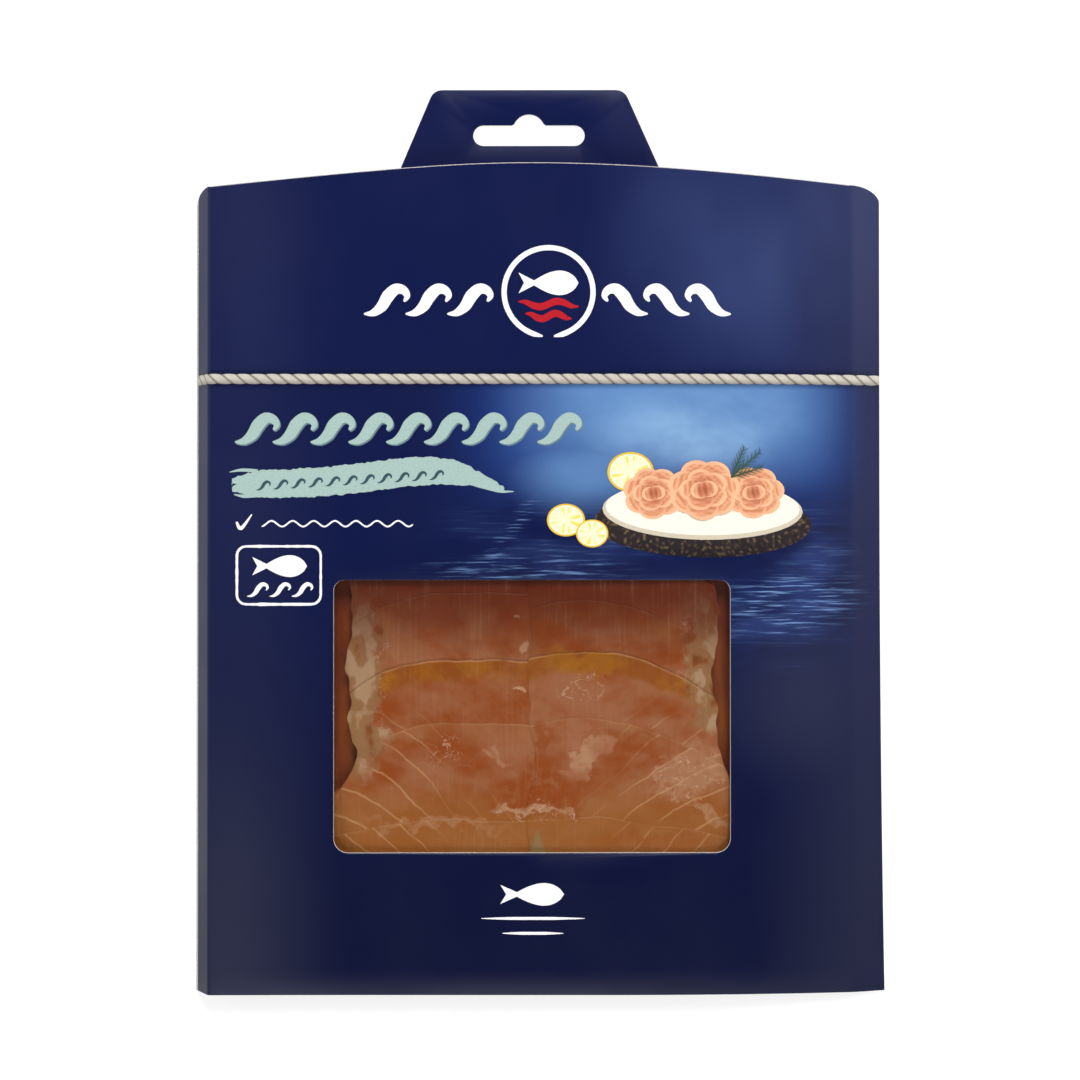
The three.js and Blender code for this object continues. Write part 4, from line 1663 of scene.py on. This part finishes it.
    def crease_glints(self, s: Shader, flat: Socket, colour: Socket) -> Socket:
        """Painted highlights: pale winding lines along the film's creases, where it doesn't lie tight on the
        fish.

        Args:
            s: the shader being built.
            flat: flat place in millimetres.
            colour: colour under them.

        Returns:
            The colour with the lines.
        """
        area = s.highest(*(s.spot(flat, spot) for spot in self.crease_glint_areas))
        wind = s.noise(s.stretch(flat, 1.0, 0.8), 0.26, 3.0, 0.55)
        away = s.math("ABSOLUTE", s.less(wind, 0.5))
        thick = s.rise(s.noise(flat, 0.6, 1.0), 0.3, 0.65, 0.004, 0.022)
        line = s.rise(s.math("DIVIDE", away, thick), 1.0, 0.3)
        return s.mix(s.product(line, area, 0.4), colour, self.crease)

    def sides(self, s: Shader, place: Sequence[Socket], colour: Socket) -> Socket:
        """Beige fat along the two outer sides of the stack.

        Args:
            s: the shader being built.
            place: flat place in millimetres, its X and its Y.
            colour: colour under it.

        Returns:
            The colour with the fat.
        """
        flat, x, y = place
        shift = s.product(s.less(s.noise(flat, 0.13, 4.0, 0.6), 0.5), 20.0)
        loose_x, loose_y = s.total(x, shift), s.total(y, shift)
        left = s.product(s.rise(loose_x, -44.0, -47.0), s.rise(loose_y, -70.0, -60.0))
        right = s.product(s.rise(loose_x, 41.0, 44.5), s.rise(loose_y, -58.0, -50.0))
        lumps = s.noise(s.stretch(flat, 1.0, 0.62), 0.15, 3.0, 0.45)
        fat = s.mix(s.rise(lumps, 0.36, 0.46), self.side_deep, self.side_middle)
        fat = s.mix(s.rise(lumps, 0.50, 0.56, 0.0, 0.8), fat, self.side_pale)
        return s.mix(s.product(s.highest(left, right), 0.88), colour, fat)

    def notched(self, s: Shader, place: Sequence[Socket], colour: Socket) -> Socket:
        """The colour with the pale wedge between the two columns, low in the window."""
        _, x, y = place
        tip_x, tip_y = self.notch_tip
        half_width = s.product(s.less(tip_y, y), self.notch_slope)
        wedge = s.less(half_width, s.math("ABSOLUTE", s.total(x, -tip_x)))
        return s.mix(s.product(s.rise(wedge, -0.5, 0.9), 0.72), colour, self.notch)

    def material(self) -> Material:
        """Builds the flesh."""
        made, s = new_shader("salmon_flesh")
        place = s.object_place()
        flat, _, y = place
        large = s.noise(s.stretch(flat, 1.0, 1.5), 0.065, 3.0, 0.55)
        warp = s.noise(flat, 0.11, 2.0)
        cut = s.uv_place(SalmonSlices.uv_name)
        line = self.fat_line(s, cut, warp)
        colour = self.slices(s, place, cut, (line, warp, large))
        colour = self.sides(s, place, self.patches(s, flat, colour))
        upper = s.product(s.rise(s.total(y, s.product(warp, 8.0)), -36.0, -10.0), 0.92)
        colour = s.mix(upper, colour, self.dark)
        # Painted highlights: faint pale streaks along the film.
        film_streaks = s.noise(s.stretch(flat, 1.2, 0.05), 1.0, 3.0, 0.6)
        pale = s.product(s.rise(film_streaks, 0.50, 0.80, 0.0, 0.16), s.rise(large, 0.35, 0.6))
        colour = self.notched(s, place, s.mix(pale, colour, self.milky_glint))
        relief = s.total(s.product(s.noise(flat, 0.9, 3.0), 0.6), s.product(line, 0.2))
        s.surface(
            Base_Color=colour,
            Roughness=0.4,
            Specular_IOR_Level=0.16,
            Coat_Weight=0.08,
            Coat_Roughness=0.16,
            Normal=s.bump(relief, 0.35, 0.0004),
        )
        return made


@dataclass(frozen=True)
class CardFinish:
    """Coppery metallised carrier card."""

    tint: Colour = linear(138, 68, 10)
    deep: Colour = linear(102, 36, 3)

    def material(self) -> Material:
        """Builds the card."""
        made, s = new_shader("carrier_card")
        flat = s.object_place()[0]
        patch = s.noise(s.stretch(flat, 1.0, 0.3), 0.09, 3.0)
        s.surface(
            Base_Color=s.mix(s.rise(patch, 0.35, 0.65), self.deep, self.tint),
            Metallic=0.1,
            Roughness=0.42,
            Normal=s.bump(s.noise(flat, 1.8, 3.0), 0.2, 0.00005),
        )
        return made


@dataclass(frozen=True)
class FilmFinish:
    """Thin clear film: nearly all light goes through, and a little is mirrored."""

    alpha: float = 0.055
    roughness: float = 0.13

    def material(self) -> Material:
        """Builds the film."""
        made, s = new_shader("clear_film")
        crease = s.noise(s.stretch(s.object_place()[0], 0.9, 0.10), 1.0, 3.0, 0.6)
        s.surface(
            Base_Color=(1.0, 1.0, 1.0, 1.0),
            Metallic=1.0,
            Roughness=self.roughness,
            Alpha=self.alpha,
            Normal=s.bump(crease, 0.35, 0.0002),
        )
        return made


@dataclass
class SalmonSlices:
    """One column of overlapping slices. At the seam the left column goes under the right one."""

    uv_name = "flesh"
    tone_name = "tone"
    band_name = "band"

    side: Side
    form: StackForm
    material: Material
    thickness: float = 0.64
    soft_edge: float = 0.26
    rows_long: float = 4.6
    points_across: int = 34
    points_along: int = 44
    crowding: float = 1.25
    middle_offset: float = 30.0
    tuck_width: float = 0.9
    tuck_depth: float = 0.35
    lip_width: float = 5.0
    lip_height: float = 0.07
    first_seed: int = 11

    def slice_place(self, first: int, length: float, i: int, j: int) -> tuple[Vector, Point]:
        """Place and UV of one point of a slice.

        Args:
            first: the slice's row.
            length: its length in rows.
            i: column of the point.
            j: row of the point.

        Returns:
            The place, and the distances from the seam and from the upper edge.
        """
        form, side = self.form, self.side
        near = -self.tuck_width if side is Side.LEFT else 0.0
        row = first + length * (j / (self.points_along - 1)) ** self.crowding
        middle = form.row_y(side, self.middle_offset, row)
        reach = side.value * (form.outer_x(side, middle) - form.seam_x(middle))
        offset = lerp(near, reach, i / (self.points_across - 1))
        y = form.row_y(side, offset, row)
        x = form.seam_x(y) + side.value * offset
        z = form.layer_z(x, y, form.lift(first, row - first))
        if side is Side.RIGHT:
            z += self.lip_height * clamp(1 - offset / self.lip_width)
        else:
            z -= self.tuck_depth * clamp(offset / near)
        below = form.row_y(side, offset, first) - y
        return Vector((x, y, z)), (offset, below)

    def add_slice(self, bm: BMesh, first: int, tone: float) -> None:
        """Adds one slice to the column.

        Args:
            bm: the mesh that takes it.
            first: the slice's row.
            tone: its own share of pink, from 0 to 1.
        """
        length = min(self.rows_long, len(self.form.levels(self.side)) - 1 - first)
        uv = bm.loops.layers.uv[self.uv_name]
        tones = bm.verts.layers.float[self.tone_name]
        bands = bm.verts.layers.float[self.band_name]
        last_across, last_along = self.points_across - 1, self.points_along - 1
        marks: dict[tuple[float, ...], Point] = {}

        def key(at: Vector) -> tuple[float, ...]:
            """The rounded place, by which a point's UV is found again."""
            return tuple(round(value, 5) for value in at)

        def place(i: int, j: int) -> Vector:
            """Point of the grid, mirrored so that faces look up in both columns."""
            column = i if self.side is Side.RIGHT else last_across - i
            at, mark = self.slice_place(first, length, column, last_along - j)
            marks[key(at)] = mark
            return at

        for vert in make_grid(bm, self.points_across, self.points_along, place):
            vert[tones] = tone
            vert[bands] = self.form.bands[first]
            across, below = marks[key(vert.co)]
            for loop in vert.link_loops:
                loop[uv].uv = (across * MM, below * MM)

    def build(self) -> None:
        """Builds and dresses the column."""
        draw = random.Random(self.first_seed + self.side.value)
        bm = bmesh.new()
        bm.loops.layers.uv.new(self.uv_name)
        for name in (self.tone_name, self.band_name):
            bm.verts.layers.float.new(name)
        for first in range(len(self.form.levels(self.side)) - 1):
            self.add_slice(bm, first, draw.uniform(0.0, 1.0))
        piece = make_object(bm, f"salmon_slices_{self.side.name.lower()}", [self.material])
        add_wall(piece, self.thickness)
        add_bevel(piece, self.soft_edge, 60)
        apply_modifiers(piece)
        finish_piece(piece, Slot.FISH, sharp_degrees=80)


@dataclass
class CarrierCard:
    """The card that the slices lie on."""

    outline: Opening = Opening(-81.8, 76.2, -114.0, 90.0, 6.0, 6.0)
    low: float = 0.92
    high: float = 1.32
    soft_edge: float = 0.1

    def build(self) -> None:
        """Builds and dresses the card."""
        bm = bmesh.new()
        fill(bm, make_loop(bm, self.outline.outline()))
        bmesh.ops.translate(bm, verts=bm.verts, vec=(0.0, 0.0, self.high))
        piece = make_object(bm, "carrier_card", [CardFinish().material()])
        add_wall(piece, self.high - self.low)
        add_bevel(piece, self.soft_edge, 30)
        apply_modifiers(piece)
        finish_piece(piece, Slot.FISH, sharp_degrees=40)


@dataclass
class PouchFilm:
    """The film of the vacuum pouch: drawn down over the slices, and flat at the seal."""

    form: StackForm
    board: BoardForm
    centre: Point = (-2.8, -12.0)
    half_width: float = 84.0
    half_length: float = 107.0
    seal_top: float = 1.5
    base: float = 0.82
    gap: float = 0.07
    clearance: float = 0.25
    across: int = 150
    along: int = 190
    swirl: tuple[Point, Point] = ((41.0, -66.5), (13.0, 10.0))
    loose_sides: tuple[tuple[Point, Point], ...] = (
        ((-50.0, -36.0), (9.0, 34.0)),
        ((46.0, -30.0), (8.0, 26.0)),
    )

    def wrinkle(self, x: float, y: float) -> float:
        """Small folds of the film where it isn't tight on the fish."""

        def near(centre: Point, radii: Point) -> float:
            """1 in the middle of an ellipse, falling evenly to 0 at its edge."""
            return clamp(1 - math.hypot((x - centre[0]) / radii[0], (y - centre[1]) / radii[1]))

        folds = abs(ripple(x, y, 3.6, 21.0)) * near(*self.swirl) * 0.75
        beside = max(near(*ellipse) for ellipse in self.loose_sides)
        folds += abs(ripple(x, y * 0.6, 3.0, 22.0)) * beside * 0.6
        return folds + 0.045 * ripple(x * 4.0, y * 0.3, 6.0, 23.0)

    def height(self, x: float, y: float) -> float:
        """Height of the film's upper side."""
        share = self.form.share(x, y)
        if share <= 0:
            return self.seal_top + 0.03 * ripple(x, y, 9.0, 24.0)
        z = self.form.cover_z(x, y) + self.gap + self.wrinkle(x, y) * share
        ceiling = self.board.front_z(x, y) - self.board.board - self.clearance
        return min(max(z, self.seal_top), ceiling)

    def build(self) -> None:
        """Builds and dresses the film."""
        bm = bmesh.new()
        low_x, low_y = self.centre[0] - self.half_width, self.centre[1] - self.half_length

        def place(i: int, j: int) -> Vector:
            """Point of the film's upper side."""
            x = low_x + 2 * self.half_width * i / (self.across - 1)
            y = low_y + 2 * self.half_length * j / (self.along - 1)
            return Vector((x, y, self.height(x, y)))

        make_grid(bm, self.across, self.along, place)
        rim = [e for e in bm.edges if e.is_boundary]
        walls = bmesh.ops.extrude_edge_only(bm, edges=rim)["geom"]
        for item in walls:
            if isinstance(item, Vert):
                item.co.z = self.base
        fill(bm, [item for item in walls if isinstance(item, Edge) and item.is_boundary], -1)
        bmesh.ops.recalc_face_normals(bm, faces=bm.faces)
        piece = make_object(bm, "pouch_film", [FilmFinish().material()])
        finish_piece(piece, Slot.FISH, "vacuum_pouch", sharp_degrees=50)


# Studio


@dataclass(frozen=True)
class Softbox:
    """A soft square light that looks at the pack."""

    name: str
    place: tuple[float, float, float]
    size: float
    power: float


@dataclass
class Studio:
    """Pale floor, soft lights and the camera."""

    floor_size: float = 6.0
    floor_drop: float = 0.02
    floor_tint: Colour = (0.34, 0.34, 0.34, 1.0)
    floor_grain: Colour = (0.36, 0.36, 0.36, 1.0)
    floor_glow: float = 0.66
    horizon: Colour = (0.8, 0.8, 0.8, 1.0)
    zenith: Colour = (0.07, 0.07, 0.075, 1.0)
    softboxes: tuple[Softbox, ...] = (
        Softbox("left_softbox", (-1.8, 0.5, 1.3), 1.1, 14.0),
        Softbox("right_softbox", (1.9, 0.6, 1.3), 1.1, 16.0),
        Softbox("far_softbox", (0.3, 1.6, 1.6), 1.0, 44.0),
        Softbox("near_softbox", (0.1, -1.5, 1.6), 1.0, 22.0),
    )
    camera_place: tuple[float, float, float] = (1.742, -5.20, 620.0)
    camera_turn: tuple[float, float, float] = (0.0081, 0.0031, -0.0004)
    focal_length: float = 72.14
    sensor: float = 36.0
    view_from: float = 0.01
    view_to: float = 20.0

    def floor(self) -> None:
        """Lays the floor under the pack."""
        made, s = new_shader("studio_floor")
        grain = s.noise(s.node("ShaderNodeTexCoord").outputs["Object"], 30.0, 2.0)
        s.surface(
            Base_Color=s.mix(grain, self.floor_tint, self.floor_grain),
            Roughness=0.9,
            Emission_Color=(1.0, 1.0, 1.0, 1.0),
            Emission_Strength=self.floor_glow,
        )
        bm = bmesh.new()
        bmesh.ops.create_grid(bm, x_segments=2, y_segments=2, size=self.floor_size / 2 / MM)
        bmesh.ops.translate(bm, verts=bm.verts, vec=(0.0, 0.0, -self.floor_drop))
        make_object(bm, "studio_floor", [made])

    def world(self) -> None:
        """Makes the room: bright near the horizon, darker overhead."""
        room = bpy.data.worlds.new("studio_room")
        room.use_nodes = True
        bpy.context.scene.world = room
        s = Shader(room.node_tree)
        up = s.node("ShaderNodeSeparateXYZ", {0: s.node("ShaderNodeTexCoord").outputs["Generated"]})
        tint = s.mix(s.rise(up.outputs[2], 0.15, 0.6), self.horizon, self.zenith)
        sky = s.node("ShaderNodeBackground", {"Color": tint, "Strength": 1.0})
        s.node("ShaderNodeOutputWorld", {"Surface": sky.outputs[0]})

    def light(self, softbox: Softbox) -> None:
        """Hangs up one light and turns it to the pack."""
        lamp = bpy.data.lights.new(softbox.name, "AREA")
        lamp.size = softbox.size
        lamp.energy = softbox.power
        holder = bpy.data.objects.new(softbox.name, lamp)
        holder.location = softbox.place
        holder.rotation_euler = Vector(softbox.place).to_track_quat("Z", "Y").to_euler()
        bpy.context.scene.collection.objects.link(holder)

    def camera(self) -> None:
        """Sets the camera above the pack, as the photograph was taken."""
        lens = bpy.data.cameras.new("camera")
        lens.lens = self.focal_length
        lens.sensor_width = self.sensor
        lens.clip_start = self.view_from
        lens.clip_end = self.view_to
        holder = bpy.data.objects.new("camera", lens)
        holder.location = Vector(self.camera_place) * MM
        holder.rotation_euler = self.camera_turn
        bpy.context.scene.collection.objects.link(holder)
        bpy.context.scene.camera = holder

    def build(self) -> None:
        """Sets up the whole studio."""
        self.floor()
        self.world()
        for softbox in self.softboxes:
            self.light(softbox)
        self.camera()
        bpy.context.scene.view_settings.view_transform = "Standard"


def main() -> None:
    """Builds the pack and the studio, in order."""
    logging.basicConfig(level=logging.INFO)
    Studio().build()
    sleeve = PrintedSleeve()
    sleeve.build()
    FrontArtwork(sleeve.form).build()
    stack = StackForm()
    flesh = FleshFinish().material()
    CarrierCard().build()
    for side in Side:
        SalmonSlices(side, stack, flesh).build()
    PouchFilm(stack, sleeve.form).build()


if __name__ == "__main__":
    main()
